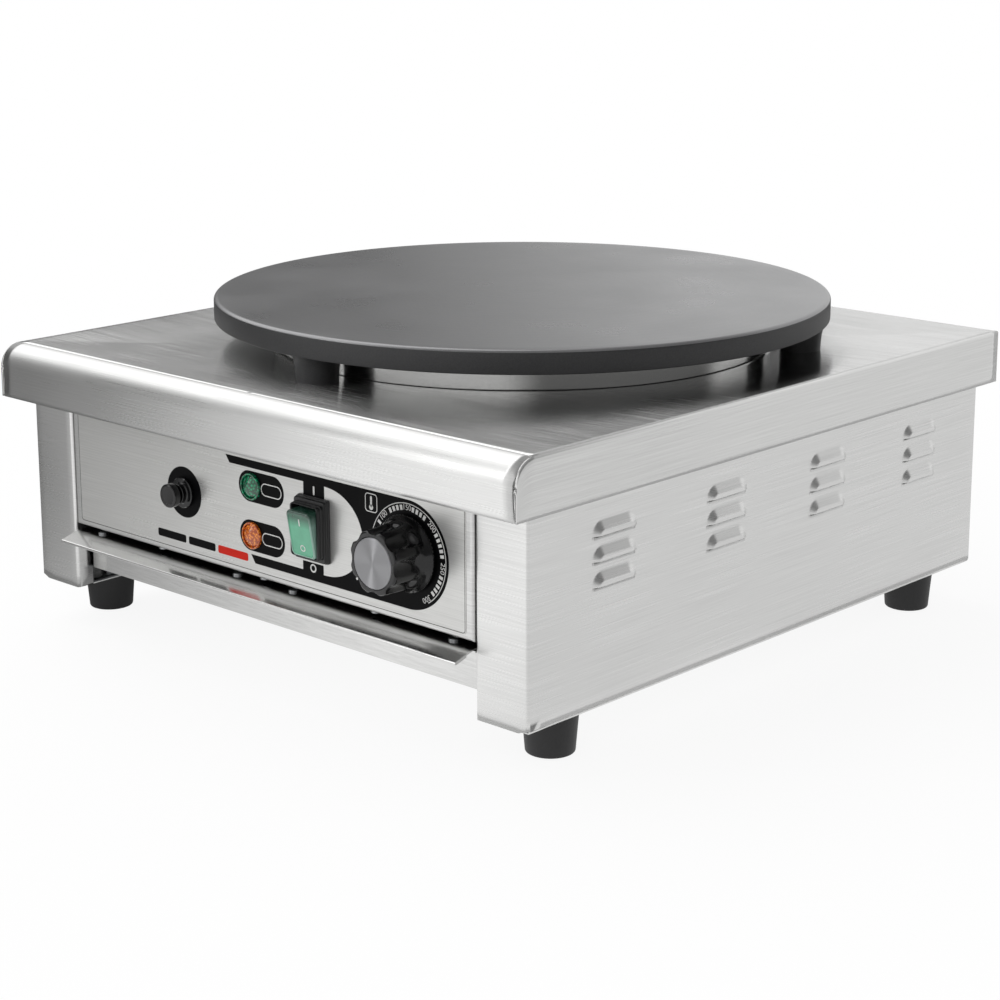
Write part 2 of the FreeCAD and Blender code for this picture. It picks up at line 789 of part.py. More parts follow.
def tray_runner(side, sign):
    """Rail below one side of the tray, with a strip that guides the tray's wall."""
    length = "(housing_depth - post_return - 2 * housing_wall - 2 * runner_end_gap)"
    start = "runner_end_gap - recess_front"
    spread = "%s / 2 + (%s)" % (length, start)
    level = "runner_top - runner_wall"
    rail = new_body("tray_runner_" + side)
    middle_block(rail, ("runner_width", length, "runner_wall"), level,
                 x="%d * (inner_side - runner_width / 2)" % sign, y=spread)
    middle_block(rail, ("runner_wall", length, "runner_flange"), level,
                 x="%d * (inner_side - runner_wall / 2)" % sign, y=spread)
    guide = new_body("tray_guide_" + side)
    middle_block(guide, ("runner_wall", length, "runner_guide"), "runner_top",
                 x="%d * (tray_half + guide_gap + runner_wall / 2)" % sign, y=spread)


def griddle_plate():
    """Thick cast plate with three lugs, a centre boss and a recessed underside."""
    body = at_plate("griddle_plate")
    recess = "outer_loop + recess_rim"
    ceiling = "plate_base + plate_recess"
    stud_hole = "stud_radius + thread_gap"
    points = [(0, "plate_top"), (0, "clamp_top + stud_depth"),
              (stud_hole, "clamp_top + stud_depth"), (stud_hole, "clamp_top"),
              ("boss_radius", "clamp_top"), ("boss_radius", ceiling), (recess, ceiling),
              (recess, "plate_base"), ("plate_radius - plate_chamfer / 2", "plate_base"),
              ("plate_radius", "plate_base + plate_chamfer / 2"),
              ("plate_radius", "plate_top - plate_chamfer"),
              ("plate_radius - plate_chamfer", "plate_top")]
    revolve(body, points)
    lug = cone(body, "lug_foot", "lug_head", "plate_base - cover_top",
               (0, "0 - lug_circle", "cover_top"))
    repeat(body, [lug], 3)
    bore = rod(body, "lug_bore", "lug_bore_depth", (0, "0 - lug_circle", "cover_top"), remove=True)
    repeat(body, [bore], 3)


def lug_bolts():
    """Three bolts from below the cover into the lugs of the plate."""
    body = at_plate("lug_bolts")
    for x, y in LUG_SPOTS:
        hexagon(body, "bolt_head", "bolt_head_height", (x, y, "housing_top - bolt_head_height"))
        rod(body, "bolt_radius", "cover_wall + lug_bolt_grip", (x, y, "housing_top"))


def terminal_spots():
    """Lists where the ends of both heating loops go down, on the plate's axis."""
    spots = []
    for loop in ("outer_loop", "inner_loop"):
        spots.append((loop, 0))
        spots.append((loop + " * cos(element_sweep)", loop + " * sin(element_sweep)"))
    return spots


def element_pan():
    """Thin round pan that carries the insulation below the elements."""
    body = at_plate("element_pan")
    inner, rim = "pan_radius - pan_wall", "plate_base - pan_clearance"
    revolve(body, [(0, "pan_base"), ("pan_radius", "pan_base"), ("pan_radius", rim), (inner, rim),
                   (inner, "pan_base + pan_wall"), (0, "pan_base + pan_wall")])
    drill_heater_holes(body, "pan_base - pan_wall")


def drill_heater_holes(body, base):
    """Drills the holes for the stud and the four terminals."""
    length = "insulation_height + cut_reach"
    rod(body, "stud_radius + hole_gap", length, (0, 0, base), remove=True)
    for x, y in terminal_spots():
        rod(body, "terminal_radius + terminal_gap", length, (x, y, base), remove=True)


def insulation_disc():
    """Insulating disc lying in the pan."""
    body = at_plate("insulation_disc")
    rod(body, "pan_radius - pan_wall - terminal_gap", "insulation_height",
        (0, 0, "pan_base + pan_wall"))
    drill_heater_holes(body, "pan_base")


def heating_element(label, loop):
    """Open ring of tube with an elbow and a straight terminal at each end."""
    body = at_plate(label)
    ring = body.newObject("PartDesign::AdditiveTorus", "ring")
    bind(ring, Radius1=loop, Radius2="element_radius", Angle3="element_sweep")
    bind_place(ring, 0, 0, "element_height")
    doc.recompute()
    ends = ((loop, 0), (loop + " * cos(element_sweep)", loop + " * sin(element_sweep)"))
    for x, y in ends:
        rod(body, "elbow_radius", "2 * element_radius", (x, y, "element_height - element_radius"))
        rod(body, "terminal_radius", "terminal_length",
            (x, y, "element_height - terminal_length"))


def element_clamp():
    """Flat bar that holds both heating loops up against the plate."""
    body = at_plate("element_clamp")
    middle_block(body, ("clamp_width", "clamp_span", "clamp_wall"), "clamp_top - clamp_wall")
    rod(body, "stud_radius + hole_gap", "cut_reach", (0, 0, "clamp_top - cut_reach / 2"), remove=True)


def centre_stud():
    """Threaded stud from the plate's boss down through the pan."""
    body = at_plate("centre_stud")
    rod(body, "stud_radius", "clamp_top + stud_depth - end_gap - pan_base + stud_tail",
        (0, 0, "pan_base - stud_tail"))


def stud_nuts():
    """Two nuts on the centre stud, below the clamp and below the pan."""
    body = at_plate("stud_nuts")
    bore = "stud_radius + thread_gap"
    hex_nut(body, "nut_radius", "nut_height", bore, (0, 0, "clamp_top - clamp_wall - nut_height"))
    hex_nut(body, "nut_radius", "nut_height", bore, (0, 0, "pan_base - nut_height"))


def thermostat_body():
    """Thermostat with a round neck against the inside of the panel."""
    body = at_panel("thermostat_body", "knob_x", "knob_z")
    face = "0 - housing_wall - neck_length"
    middle_block(body, ("thermostat_width", "thermostat_tall", "thermostat_deep"),
                 face + " - thermostat_deep")
    rod(body, "neck_radius", "neck_length", (0, 0, face))
    rod(body, "shaft_radius + shaft_clearance", "shaft_inside + cut_reach",
        (0, 0, "0 - housing_wall - shaft_inside - end_gap"), remove=True)


def thermostat_shaft():
    """Shaft from the thermostat into the knob."""
    body = at_panel("thermostat_shaft", "knob_x", "knob_z")
    rod(body, "shaft_radius", "housing_wall + shaft_inside + shaft_reach",
        (0, 0, "0 - housing_wall - shaft_inside"))


def thermostat_knob():
    """Turned knob with a wide skirt and a grip with eight flutes."""
    body = at_panel("thermostat_knob", "knob_x", "knob_z")
    bore, cap = "shaft_radius + shaft_clearance", "cap_radius + cap_gap"
    shoulder = "knob_lift + skirt_height"
    revolve(body, [(bore, "knob_lift"), ("skirt_radius", "knob_lift"),
                   ("skirt_radius", shoulder), ("grip_root", "grip_base"),
                   ("grip_low", "grip_base"), ("grip_radius", "knob_top - grip_edge"),
                   ("grip_radius - grip_edge", "knob_top"), (cap, "knob_top"),
                   (cap, "knob_reach - cap_height"), (0, "knob_reach - cap_height"),
                   (0, "shaft_reach + thread_gap"), (bore, "shaft_reach + thread_gap")])
    flute = rod(body, "flute_radius", "knob_reach - grip_base", ("flute_circle", 0, "grip_base"),
                remove=True)
    repeat(body, [flute], 8)


def knob_cap():
    """Round metal disc set into the face of the knob."""
    body = at_panel("knob_cap", "knob_x", "knob_z")
    rod(body, "cap_radius", "cap_height", (0, 0, "knob_reach - cap_height"))


def switch_housing():
    """Stepped switch frame with a round pocket for the rocker."""
    body = at_panel("switch_housing", "switch_x", "switch_z")
    middle_block(body, ("switch_width", "switch_tall", "switch_step - film_wall"), "film_wall")
    middle_block(body, ("frame_width", "frame_tall", "frame_top - film_wall"), "film_wall")
    middle_block(body, ("switch_neck_width", "switch_neck_tall", "switch_body_deep + film_wall"),
                 "0 - switch_body_deep")
    rod(body, "rocker_radius + rocker_gap", "rocker_width + 2 * rocker_gap",
        ("0 - rocker_width / 2 - rocker_gap", 0, "rocker_pivot"), TO_SIDE, remove=True)
    reach = "rocker_width / 2 + pivot_length + rocker_gap"
    rod(body, "socket_radius", "2 * (%s)" % reach, ("0 - (%s)" % reach, 0, "rocker_pivot"),
        TO_SIDE, remove=True)


def switch_rocker():
    """Rocker on two pivot stubs, resting with its upper end out."""
    body = new_body("switch_rocker", "switch_x", "middle - half_depth - rocker_pivot",
                    "switch_z", TO_FRONT)
    bind(body, **{"Placement.Rotation.Angle": "90 + rocker_tilt"})
    rod(body, "rocker_radius", "rocker_width", ("0 - rocker_width / 2", 0, 0), TO_SIDE)
    size = ("rocker_width + cut_reach", "3 * rocker_radius", "2 * rocker_radius")
    middle_block(body, size, "rocker_face", remove=True)
    middle_block(body, size, "0 - rocker_under - 2 * rocker_radius", remove=True)
    reach = "rocker_width / 2 + pivot_length"
    rod(body, "pivot_radius", "2 * (%s)" % reach, ("0 - (%s)" % reach, 0, 0), TO_SIDE)


def lamp(name, height):
    """Indicator lamp: a lens with a neck, and its body behind the panel."""
    lens = at_panel(name + "_lens", "lamp_x", height)
    revolve(lens, [(0, "0 - housing_wall"), ("lamp_neck", "0 - housing_wall"),
                   ("lamp_neck", "film_wall"), ("lens_radius", "film_wall"),
                   ("lens_radius", "lens_height - lens_edge"),
                   ("lens_radius - lens_edge", "lens_height"), (0, "lens_height")])
    holder = at_panel(name + "_lamp_body", "lamp_x", height)
    rod(holder, "lamp_radius", "lamp_length", (0, 0, "0 - housing_wall - lamp_length"))


def cutout_body():
    """Safety cut-out with a bore for the stem of the reset button."""
    body = at_panel("cutout_body", "reset_x", "reset_z")
    middle_block(body, ("cutout_width", "cutout_width", "cutout_deep"),
                 "0 - housing_wall - cutout_deep")
    rod(body, "stem_radius + stem_gap", "stem_bore + cut_reach",
        (0, 0, "0 - housing_wall - stem_bore"), remove=True)


def reset_collar():
    """Ring on the panel that guides the reset button."""
    body = at_panel("reset_collar", "reset_x", "reset_z")
    bore = "stem_radius + stem_gap"
    revolve(body, [(bore, "0 - housing_wall"), ("reset_neck", "0 - housing_wall"),
                   ("reset_neck", "film_wall"), ("collar_radius", "film_wall"),
                   ("collar_radius", "collar_height - film_wall"),
                   ("collar_radius - film_wall", "collar_height"),
                   ("reset_neck", "collar_height"), ("reset_neck", "neck_reach"),
                   (bore, "neck_reach")])


def reset_button():
    """Round button on a stem."""
    body = at_panel("reset_button", "reset_x", "reset_z")
    rod(body, "stem_radius", "stem_inside + reset_cap_base", (0, 0, "0 - stem_inside"))
    cap = rod(body, "reset_cap", "reset_cap_height", (0, 0, "reset_cap_base"))
    bevel(body, cap, "screw_edge", at_end(cap, "z"))


def at_gland(label):
    """Starts a body on the rear panel, with its own Z pointing out of it."""
    return new_body(label, "gland_x", "middle + rear_face", "gland_z", TO_REAR)


def supply_entry():
    """Cable gland through the rear panel, with its nut inside."""
    body = at_gland("cable_gland")
    hexagon(body, "gland_hex", "gland_hex_height", (0, 0, 0))
    cone(body, "gland_dome", "gland_tip", "gland_reach - gland_hex_height",
         (0, 0, "gland_hex_height"))
    length = "housing_wall + gland_inside"
    rod(body, "gland_barrel", length, (0, 0, "0 - (%s)" % length))
    rod(body, "gland_bore", "gland_reach + %s + cut_reach" % length,
        (0, 0, "0 - (%s) - cut_reach / 2" % length), remove=True)
    nut = at_gland("gland_nut")
    hex_nut(nut, "gland_hex", "gland_hex_height", "gland_barrel + thread_gap",
            (0, 0, "0 - housing_wall - gland_hex_height"))


def terminal_block():
    """Terminal block on the shelf near the supply entry."""
    body = new_body("terminal_block", "gland_x", "middle + block_y", "shelf_base + housing_wall")
    middle_block(body, ("block_length", "block_width", "block_height / 2"), 0)
    middle_block(body, ("block_length", "block_width / 2", "block_height"), 0)


def feet():
    """Four feet, each on its own corner of the housing."""
    for side, sign in (("left", -1), ("right", 1)):
        for end, y in (("front", "foot_front_y"), ("rear", "foot_rear_y")):
            foot = new_body("foot_%s_%s" % (end, side), "%d * foot_x" % sign, y)
            bore = "bolt_radius + hole_gap"
            revolve(foot, [("foot_recess", 0), ("foot_base_radius - foot_edge", 0),
                           ("foot_base_radius", "foot_edge"), ("foot_top_radius", "foot_height"),
                           (bore, "foot_height"), (bore, "foot_web"), ("foot_recess", "foot_web")])


def foot_fixings():
    """Four bolts up through the feet and four nuts on the floor flanges."""
    bolts, nuts = new_body("foot_bolts"), new_body("foot_nuts")
    for sign in (-1, 1):
        for y in ("foot_front - half_depth", "half_depth - foot_rear"):
            x = "%d * foot_x" % sign
            hexagon(bolts, "bolt_head", "bolt_head_height", (x, y, "foot_web - bolt_head_height"))
            rod(bolts, "bolt_radius",
                "foot_height - foot_web + housing_wall + foot_nut_height + bolt_end",
                (x, y, "foot_web"))
            hex_nut(nuts, "bolt_head", "foot_nut_height", "bolt_radius + thread_gap",
                    (x, y, "foot_height + housing_wall"))


def screw_groups():
    """Screws of the tray handle, the rear panel and the control panel."""
    tray = new_body("tray_screws", z="handle_z")
    screws(tray, [(x, "tray_screw_in - half_depth") for x in TRAY_SCREWS])
    rear = new_body("rear_screws", 0, "middle + half_depth", "rear_screw_base", TO_REAR)
    screws(rear, [("%d * (half_width - rear_screw_in)" % side, "0 - %d * rear_screw_pitch" % step)
                  for side in (-1, 1) for step in range(3)])
    front = new_body("panel_screws", 0, "middle - half_depth", "panel_base", UPSIDE_DOWN)
    screws(front, [(x, "0 - panel_screw_in") for x in ("0 - panel_screw_wide", 0, "panel_screw_wide")])


def build():
    """Makes every sub-part in turn."""
    make_sheet()
    top_cover()
    side_panels()
    rear_panel()
    component_shelf()
    control_panel()
    panel_film()
    tray_pan()
    tray_handle()
    tray_runner("left", -1)
    tray_runner("right", 1)
    griddle_plate()
    lug_bolts()
    element_pan()
    insulation_disc()
    heating_element("outer_element", "outer_loop")
    heating_element("inner_element", "inner_loop")
    element_clamp()
    centre_stud()
    stud_nuts()
    thermostat_body()
    thermostat_shaft()
    thermostat_knob()
    knob_cap()
    switch_housing()
    switch_rocker()
    lamp("green", "green_z")
    lamp("orange", "orange_z")
    cutout_body()
    reset_collar()
    reset_button()
    supply_entry()
    terminal_block()
    feet()
    foot_fixings()
    screw_groups()


def check_shapes():
    """Stops when any object failed or any sub-part has no valid solid."""
    doc.recompute()
    faults = [item.Label for item in doc.Objects
              if "Invalid" in item.State or "Error" in item.State]
    faults += [item.Label for item in subparts
               if item.Shape.isNull() or not item.Shape.isValid() or not item.Shape.Solids]
    if faults:
        raise RuntimeError("faulty objects: " + ", ".join(faults))


def write_parts():
    """Writes each sub-part to a file named after it."""
    os.makedirs("parts", exist_ok=True)
    for item in subparts:
        item.Shape.exportStep("parts/%s.step" % item.Label)


build()
check_shapes()
write_parts()
print("%d sub-parts written" % len(subparts))
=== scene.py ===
import json
import math
import bmesh
import bpy
import numpy as np
from mathutils import Matrix, Vector


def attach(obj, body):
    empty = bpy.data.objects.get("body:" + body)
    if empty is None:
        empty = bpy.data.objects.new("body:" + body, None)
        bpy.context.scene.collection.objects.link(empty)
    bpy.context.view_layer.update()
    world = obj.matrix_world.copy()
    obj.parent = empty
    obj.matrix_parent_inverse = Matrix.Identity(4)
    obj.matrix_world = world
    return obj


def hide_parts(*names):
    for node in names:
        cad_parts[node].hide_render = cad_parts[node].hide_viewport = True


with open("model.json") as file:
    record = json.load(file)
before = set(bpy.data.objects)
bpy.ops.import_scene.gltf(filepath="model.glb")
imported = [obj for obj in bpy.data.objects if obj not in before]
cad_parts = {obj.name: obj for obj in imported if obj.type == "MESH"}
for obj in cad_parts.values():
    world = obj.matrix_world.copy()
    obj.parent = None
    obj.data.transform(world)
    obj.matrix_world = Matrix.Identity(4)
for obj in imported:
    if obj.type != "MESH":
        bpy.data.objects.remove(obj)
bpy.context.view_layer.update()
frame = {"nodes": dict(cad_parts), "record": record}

# Looks of a countertop electric crepe maker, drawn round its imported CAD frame.
# Shapes are worked out in millimetres with y counted from the middle of the
# housing's depth; metres() moves them into the frame of the part.

TURN = 2 * math.pi

# Sizes and places of the real pieces, in millimetres. MIDDLE is how far the
# housing's middle lies behind the origin of the part.
MIDDLE = 8.8
HALF_WIDTH, HALF_DEPTH = 216.5, 221.3
FRONT, REAR = -HALF_DEPTH, HALF_DEPTH
FOOT_HEIGHT, HOUSING_TOP = 24.6, 180.2
FOOT_X, FOOT_FRONT_Y, FOOT_REAR_Y = 196.8, -180.9, 176.5
PLATE_Y, PLATE_TOP, PLATE_BASE, PLATE_RADIUS = 11.4, 212.4, 197.9, 200.0
LUG_CIRCLE, LUG_LOW, LUG_TURNS = 182, 179.6, (-90, 30, 150)
PAN_RADIUS, PAN_WALL, PAN_FLOOR, PAN_FILL = 162, 0.8, 148, 174.8
KNOB, SWITCH, RESET = (126.9, 109.4), (50.4, 108.7), (-66.4, 109.3)
LAMP_X, GREEN_Z, ORANGE_Z = -4.0, 124.2, 94.0
ROCKER_TILT, ROCKER_PIVOT = math.radians(9.5), 1.5
FILM = 0.25

# Points of a mesh nearer than this, in metres, are one point, and edges shorter
# than this are dropped.
MERGE, SLIVER = 1e-7, 1e-8


# Geometry

def metres(points):
    """Moves points by the housing's offset and turns millimetres into metres."""
    return (np.asarray(points, float) + (0, MIDDLE, 0)) * 0.001


def smooth(value):
    """Eases 0 to 1: three times the square less twice the cube, clamped."""
    value = np.clip(value, 0, 1)
    return value * value * (3 - 2 * value)


def arc(centre, radius, start, end, count):
    """Points (count, 2) on a circle between two angles in degrees."""
    turn = np.radians(np.linspace(start, end, count))
    return np.stack([centre[0] + radius * np.cos(turn), centre[1] + radius * np.sin(turn)], 1)


def rounded_rectangle(width, height, radius, count=8):
    """Closed outline (4 * count, 2): four quarter circles, run anticlockwise."""
    x, y = width / 2 - radius, height / 2 - radius
    corners = ((x, y, 0), (-x, y, 90), (-x, -y, 180), (x, -y, 270))
    return np.concatenate([arc((cx, cy), radius, turn, turn + 90, count)
                           for cx, cy, turn in corners])


def lathe(profile, count=96, squeeze=None):
    """Rings (k, count, 3): each (radius, height) pair of the profile carried round
    the axis; squeeze(angle, radius, height) may change the radius."""
    profile = np.asarray(profile, float)
    angle = np.arange(count) * TURN / count
    radius = np.repeat(profile[:, :1], count, 1)
    height = np.repeat(profile[:, 1:], count, 1)
    if squeeze:
        radius = squeeze(angle[None, :], radius, height)
    return np.stack([radius * np.cos(angle), radius * np.sin(angle), height], 2)


def at_level(outline, level):
    """A flat outline lifted to a level."""
    return np.column_stack([outline, np.full(len(outline), float(level))])


def prism(outline, height):
    """Rings: a closed outline at 0 and again at a height."""
    return np.stack([at_level(outline, 0), at_level(outline, height)])


def carried(profile, x):
    """Rows (k, n, 3): each (y, z) pair of a profile carried along positions x."""
    x = np.broadcast_to(x, (len(profile), np.shape(x)[-1]))
    y, z = (np.repeat(profile[:, [axis]], x.shape[1], 1) for axis in (0, 1))
    return np.stack([x, y, z], 2)


def rotated(across, up, angle):
    """Turns a pair of coordinates anticlockwise by an angle in radians."""
    cosine, sine = math.cos(angle), math.sin(angle)
    return across * cosine - up * sine, across * sine + up * cosine


def on_front(points, x=0.0, z=0.0):
    """Stands a local shape on the front: its x stays, its y points up, its z out."""
    points = np.asarray(points, float)
    return np.stack([x + points[..., 0], FRONT - points[..., 2], z + points[..., 1]], -1)


def on_rear(points, x, z, y):
    """Stands a local shape on a rear face at depth y, its z pointing out."""
    points = np.asarray(points, float)
    return np.stack([x - points[..., 0], y + points[..., 2], z + points[..., 1]], -1)


def moved(points, x=0.0, y=0.0, z=0.0):
    """Shifts points by one vector."""
    return np.asarray(points, float) + (x, y, z)


def skin(points, wrap=True, caps=True, flip=False, look=0, gaps=None):
    """One patch: quads between neighbouring rows and columns of an (m, n, 3) array.
    wrap joins the last column to the first, caps close the end rows, flip turns
    the faces over, and gaps is an (m-1, n-1) mask of quads that are left out."""
    if wrap:
        points = np.concatenate([points, points[:, :1]], 1)
    rows, columns = points.shape[:2]
    index = np.arange(rows * columns).reshape(rows, columns)
    quads = np.stack([index[:-1, :-1], index[:-1, 1:], index[1:, 1:], index[1:, :-1]], -1)
    quads = quads[~gaps] if gaps is not None else quads.reshape(-1, 4)
    faces = quads[:, ::-1].tolist() if flip else quads.tolist()
    if caps:
        low, high = index[0, :-1] if wrap else index[0], index[-1, :-1] if wrap else index[-1]
        low, high = (low, high[::-1]) if flip else (low[::-1], high)
        faces += [low.tolist(), high.tolist()]
    across = np.linalg.norm(np.diff(points, axis=1), axis=2).mean(0)
    along = np.linalg.norm(np.diff(points, axis=0), axis=2).mean(1)
    u, v = np.meshgrid(np.concatenate([[0], across.cumsum()]),
                       np.concatenate([[0], along.cumsum()]))
    return {"points": points.reshape(-1, 3), "faces": faces, "look": look,
            "uv": np.stack([u, v], -1).reshape(-1, 2)}


def flat(outline, look=0):
    """One flat face from a list of points."""
    outline = np.asarray(outline, float)
    return {"points": outline, "faces": [list(range(len(outline)))], "look": look,
            "uv": outline[:, :2]}


def piece(name, patches, materials, body, nodes=(), crease=32, thickness=0):
    """Joins patches into one mesh, gives it its materials and rides it on a body.
    thickness, in millimetres, adds the sheet's wall behind the faces."""
    points, faces, looks, uvs, start = [], [], [], [], 0
    for patch in patches:
        points.append(patch["points"])
        uvs.append(patch["uv"])
        faces += [[start + number for number in face] for face in patch["faces"]]
        looks += [patch["look"]] * len(patch["faces"])
        start += len(patch["points"])
    mesh = bpy.data.meshes.new(name)
    mesh.from_pydata(metres(np.concatenate(points)).tolist(), [], faces)
    corners = np.empty(len(mesh.loops), np.int64)
    mesh.loops.foreach_get("vertex_index", corners)
    layer = mesh.uv_layers.new(name="sheet")
    layer.data.foreach_set("uv", (np.concatenate(uvs) * 0.001)[corners].ravel())
    mesh.polygons.foreach_set("material_index", looks)
    tidy = bmesh.new()
    tidy.from_mesh(mesh)
    bmesh.ops.remove_doubles(tidy, verts=tidy.verts, dist=MERGE)
    bmesh.ops.dissolve_degenerate(tidy, edges=tidy.edges, dist=SLIVER)
    tidy.to_mesh(mesh)
    tidy.free()
    mesh.polygons.foreach_set("use_smooth", np.ones(len(mesh.polygons), bool))
    mesh.set_sharp_from_angle(angle=math.radians(crease))
    item = bpy.data.objects.new(name, mesh)
    bpy.context.scene.collection.objects.link(item)
    for material in materials:
        mesh.materials.append(material)
    if thickness:
        solid = item.modifiers.new("wall", "SOLIDIFY")
        solid.thickness = thickness * 0.001
        solid.offset = -1
        solid.use_even_offset = True
    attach(item, body)
    if nodes:
        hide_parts(*nodes)
    return item


# Materials

def linear(text):
    """Turns an sRGB hex colour into linear values with full alpha."""
    parts = [int(text[i:i + 2], 16) / 255 for i in (1, 3, 5)]
    return [c / 12.92 if c <= 0.04045 else ((c + 0.055) / 1.055) ** 2.4 for c in parts] + [1.0]


def node(tree, kind, inputs=(), **settings):
    """Adds one node, sets its attributes, and fills or links its inputs."""
    item = tree.nodes.new("ShaderNode" + kind)
    for name, value in settings.items():
        setattr(item, name, value)
    for key, value in dict(inputs).items():
        if isinstance(value, bpy.types.NodeSocket):
            tree.links.new(value, item.inputs[key])
        else:
            item.inputs[key].default_value = value
    return item


def finish(name, **values):
    """Starts a material and returns it with its tree and its surface shader."""
    material = bpy.data.materials.new(name)
    material.use_nodes = True
    tree = material.node_tree
    shader = tree.nodes["Principled BSDF"]
    for key, value in values.items():
        shader.inputs[key.replace("_", " ")].default_value = value
    return material, tree, shader


def pattern_space(tree, source, scale):
    """Coordinates for a pattern: Object or UV, scaled to cycles per metre."""
    place = node(tree, "TexCoord")
    return node(tree, "Mapping", {"Vector": place.outputs[source], "Scale": scale}).outputs[0]


def ramp(tree, value, low, high, start=0.3, end=0.7, way="LINEAR"):
    """Maps a value from start..end to low..high, straight or eased at both ends."""
    limits = {"Value": value, "From Min": start, "From Max": end, "To Min": low, "To Max": high}
    return node(tree, "MapRange", limits, interpolation_type=way).outputs[0]


def combine(tree, operation, *values):
    """Folds several values into one with one kind of sum."""
    total = values[0]
    for value in values[1:]:
        total = node(tree, "Math", {0: total, 1: value}, operation=operation).outputs[0]
    return total


def blend(tree, factor, first, second):
    """Mixes two colours by a factor."""
    mix = node(tree, "Mix", data_type="RGBA")
    tree.links.new(factor, mix.inputs[0])
    for socket, value in zip((mix.inputs[6], mix.inputs[7]), (first, second)):
        if isinstance(value, bpy.types.NodeSocket):
            tree.links.new(value, socket)
        else:
            socket.default_value = value
    return mix.outputs[2]


def bump(tree, shader, height, strength, depth):
    """Raises a surface by a pattern whose full depth is given in millimetres."""
    relief = node(tree, "Bump", {"Height": height, "Strength": strength,
                                 "Distance": depth * 0.001})
    tree.links.new(relief.outputs[0], shader.inputs["Normal"])


CLOUDS = (9, 9, 9)


def brushed(name, colour, dark, source, scale, roughness, depth=0.03, metallic=1.0, stretch=0.0):
    """Brushed stainless sheet: fine parallel scratches (about 0.1 mm apart on the
    real sheet, drawn about 0.6 mm apart so that they show) and a faint cloudiness.
    stretch draws the highlights out across the scratches."""
    material, tree, shader = finish(name, Metallic=metallic, Roughness=roughness,
                                    Anisotropic=stretch, Anisotropic_Rotation=0.25)
    if stretch:
        grain_way = node(tree, "Tangent", direction_type="UV_MAP", uv_map="sheet")
        tree.links.new(grain_way.outputs[0], shader.inputs["Tangent"])
    lines = node(tree, "TexNoise", {"Vector": pattern_space(tree, source, scale), "Scale": 1.0,
                                    "Detail": 3.0, "Roughness": 0.6}).outputs[0]
    broad = node(tree, "TexNoise", {"Vector": pattern_space(tree, "Object", CLOUDS),
                                    "Scale": 1.0, "Detail": 2.0}).outputs[0]
    tone = blend(tree, ramp(tree, lines, 0.0, 1.0), linear(dark), linear(colour))
    tree.links.new(tone, shader.inputs["Base Color"])
    gloss = combine(tree, "ADD", ramp(tree, lines, 0.05, -0.05),
                    ramp(tree, broad, roughness - 0.03, roughness + 0.03))
    tree.links.new(gloss, shader.inputs["Roughness"])
    bump(tree, shader, lines, 0.25, depth)
    return material


def moulded(name, colour, roughness, grain, depth, **values):
    """Moulded plastic or rubber: an even colour with a fine grain in its surface."""
    material, tree, shader = finish(name, Base_Color=linear(colour), Roughness=roughness, **values)
    space = pattern_space(tree, "Object", (1000 / grain,) * 3)
    noise = node(tree, "TexNoise", {"Vector": space, "Scale": 1.0, "Detail": 3.0}).outputs[0]
    gloss = ramp(tree, noise, roughness - 0.04, roughness + 0.06)
    tree.links.new(gloss, shader.inputs["Roughness"])
    bump(tree, shader, noise, 0.3, depth)
    return material


def cast_iron(name, dark, pale, metallic, roughness, grain_depth, marks_depth):
    """Seasoned cast iron with a sandy grain of about 0.8 mm, a cloudy oil film,
    and, where it has been faced on a lathe, broad rings about 7.5 mm apart."""
    material, tree, shader = finish(name, Metallic=metallic, Roughness=roughness)
    place = pattern_space(tree, "Object", (1, 1, 1))
    centred = node(tree, "VectorMath", {0: place, 1: (0, -(PLATE_Y + MIDDLE) * 0.001, 0)},
                   operation="ADD").outputs[0]
    grain = node(tree, "TexNoise", {"Vector": pattern_space(tree, "Object", (1250,) * 3),
                                    "Scale": 1.0, "Detail": 4.0}).outputs[0]
    cloud = node(tree, "TexNoise", {"Vector": place, "Scale": 14.0, "Detail": 4.0}).outputs[0]
    rings = {"Vector": centred, "Scale": 42.0, "Distortion": 0.6, "Detail": 2.0}
    marks = node(tree, "TexWave", rings, wave_type="RINGS", rings_direction="Z").outputs[1]
    mottle = combine(tree, "ADD", ramp(tree, grain, 0, 0.6), ramp(tree, cloud, 0, 0.4))
    tree.links.new(blend(tree, mottle, linear(dark), linear(pale)), shader.inputs["Base Color"])
    gloss = ramp(tree, cloud, roughness - 0.03, roughness + 0.04)
    tree.links.new(gloss, shader.inputs["Roughness"])
    height = combine(tree, "ADD", ramp(tree, grain, 0, grain_depth),
                     ramp(tree, marks, 0, marks_depth, 0, 1))
    bump(tree, shader, height, 0.5, 0.06)
    return material


def turned_aluminium(name, x, z):
    """Spun aluminium disc: rings of cut marks about 1 mm apart round its own middle,
    which spread the light into the fan seen on such a knob."""
    material, tree, shader = finish(name, Metallic=1.0, Roughness=0.5, Anisotropic=1.0,
                                    Anisotropic_Rotation=0.25, Base_Color=linear("#a4a4a6"))
    place = pattern_space(tree, "Object", (1, 1, 1))
    centred = node(tree, "VectorMath", {0: place, 1: (-x * 0.001, 0, -z * 0.001)},
                   operation="ADD").outputs[0]
    marks = node(tree, "TexWave", {"Vector": centred, "Scale": 330.0, "Distortion": 0.4},
                 wave_type="RINGS", rings_direction="Y").outputs[1]
    tree.links.new(ramp(tree, marks, 0.46, 0.54, 0, 1), shader.inputs["Roughness"])
    round_way = node(tree, "Tangent", direction_type="RADIAL", axis="Y")
    tree.links.new(round_way.outputs[0], shader.inputs["Tangent"])
    return material


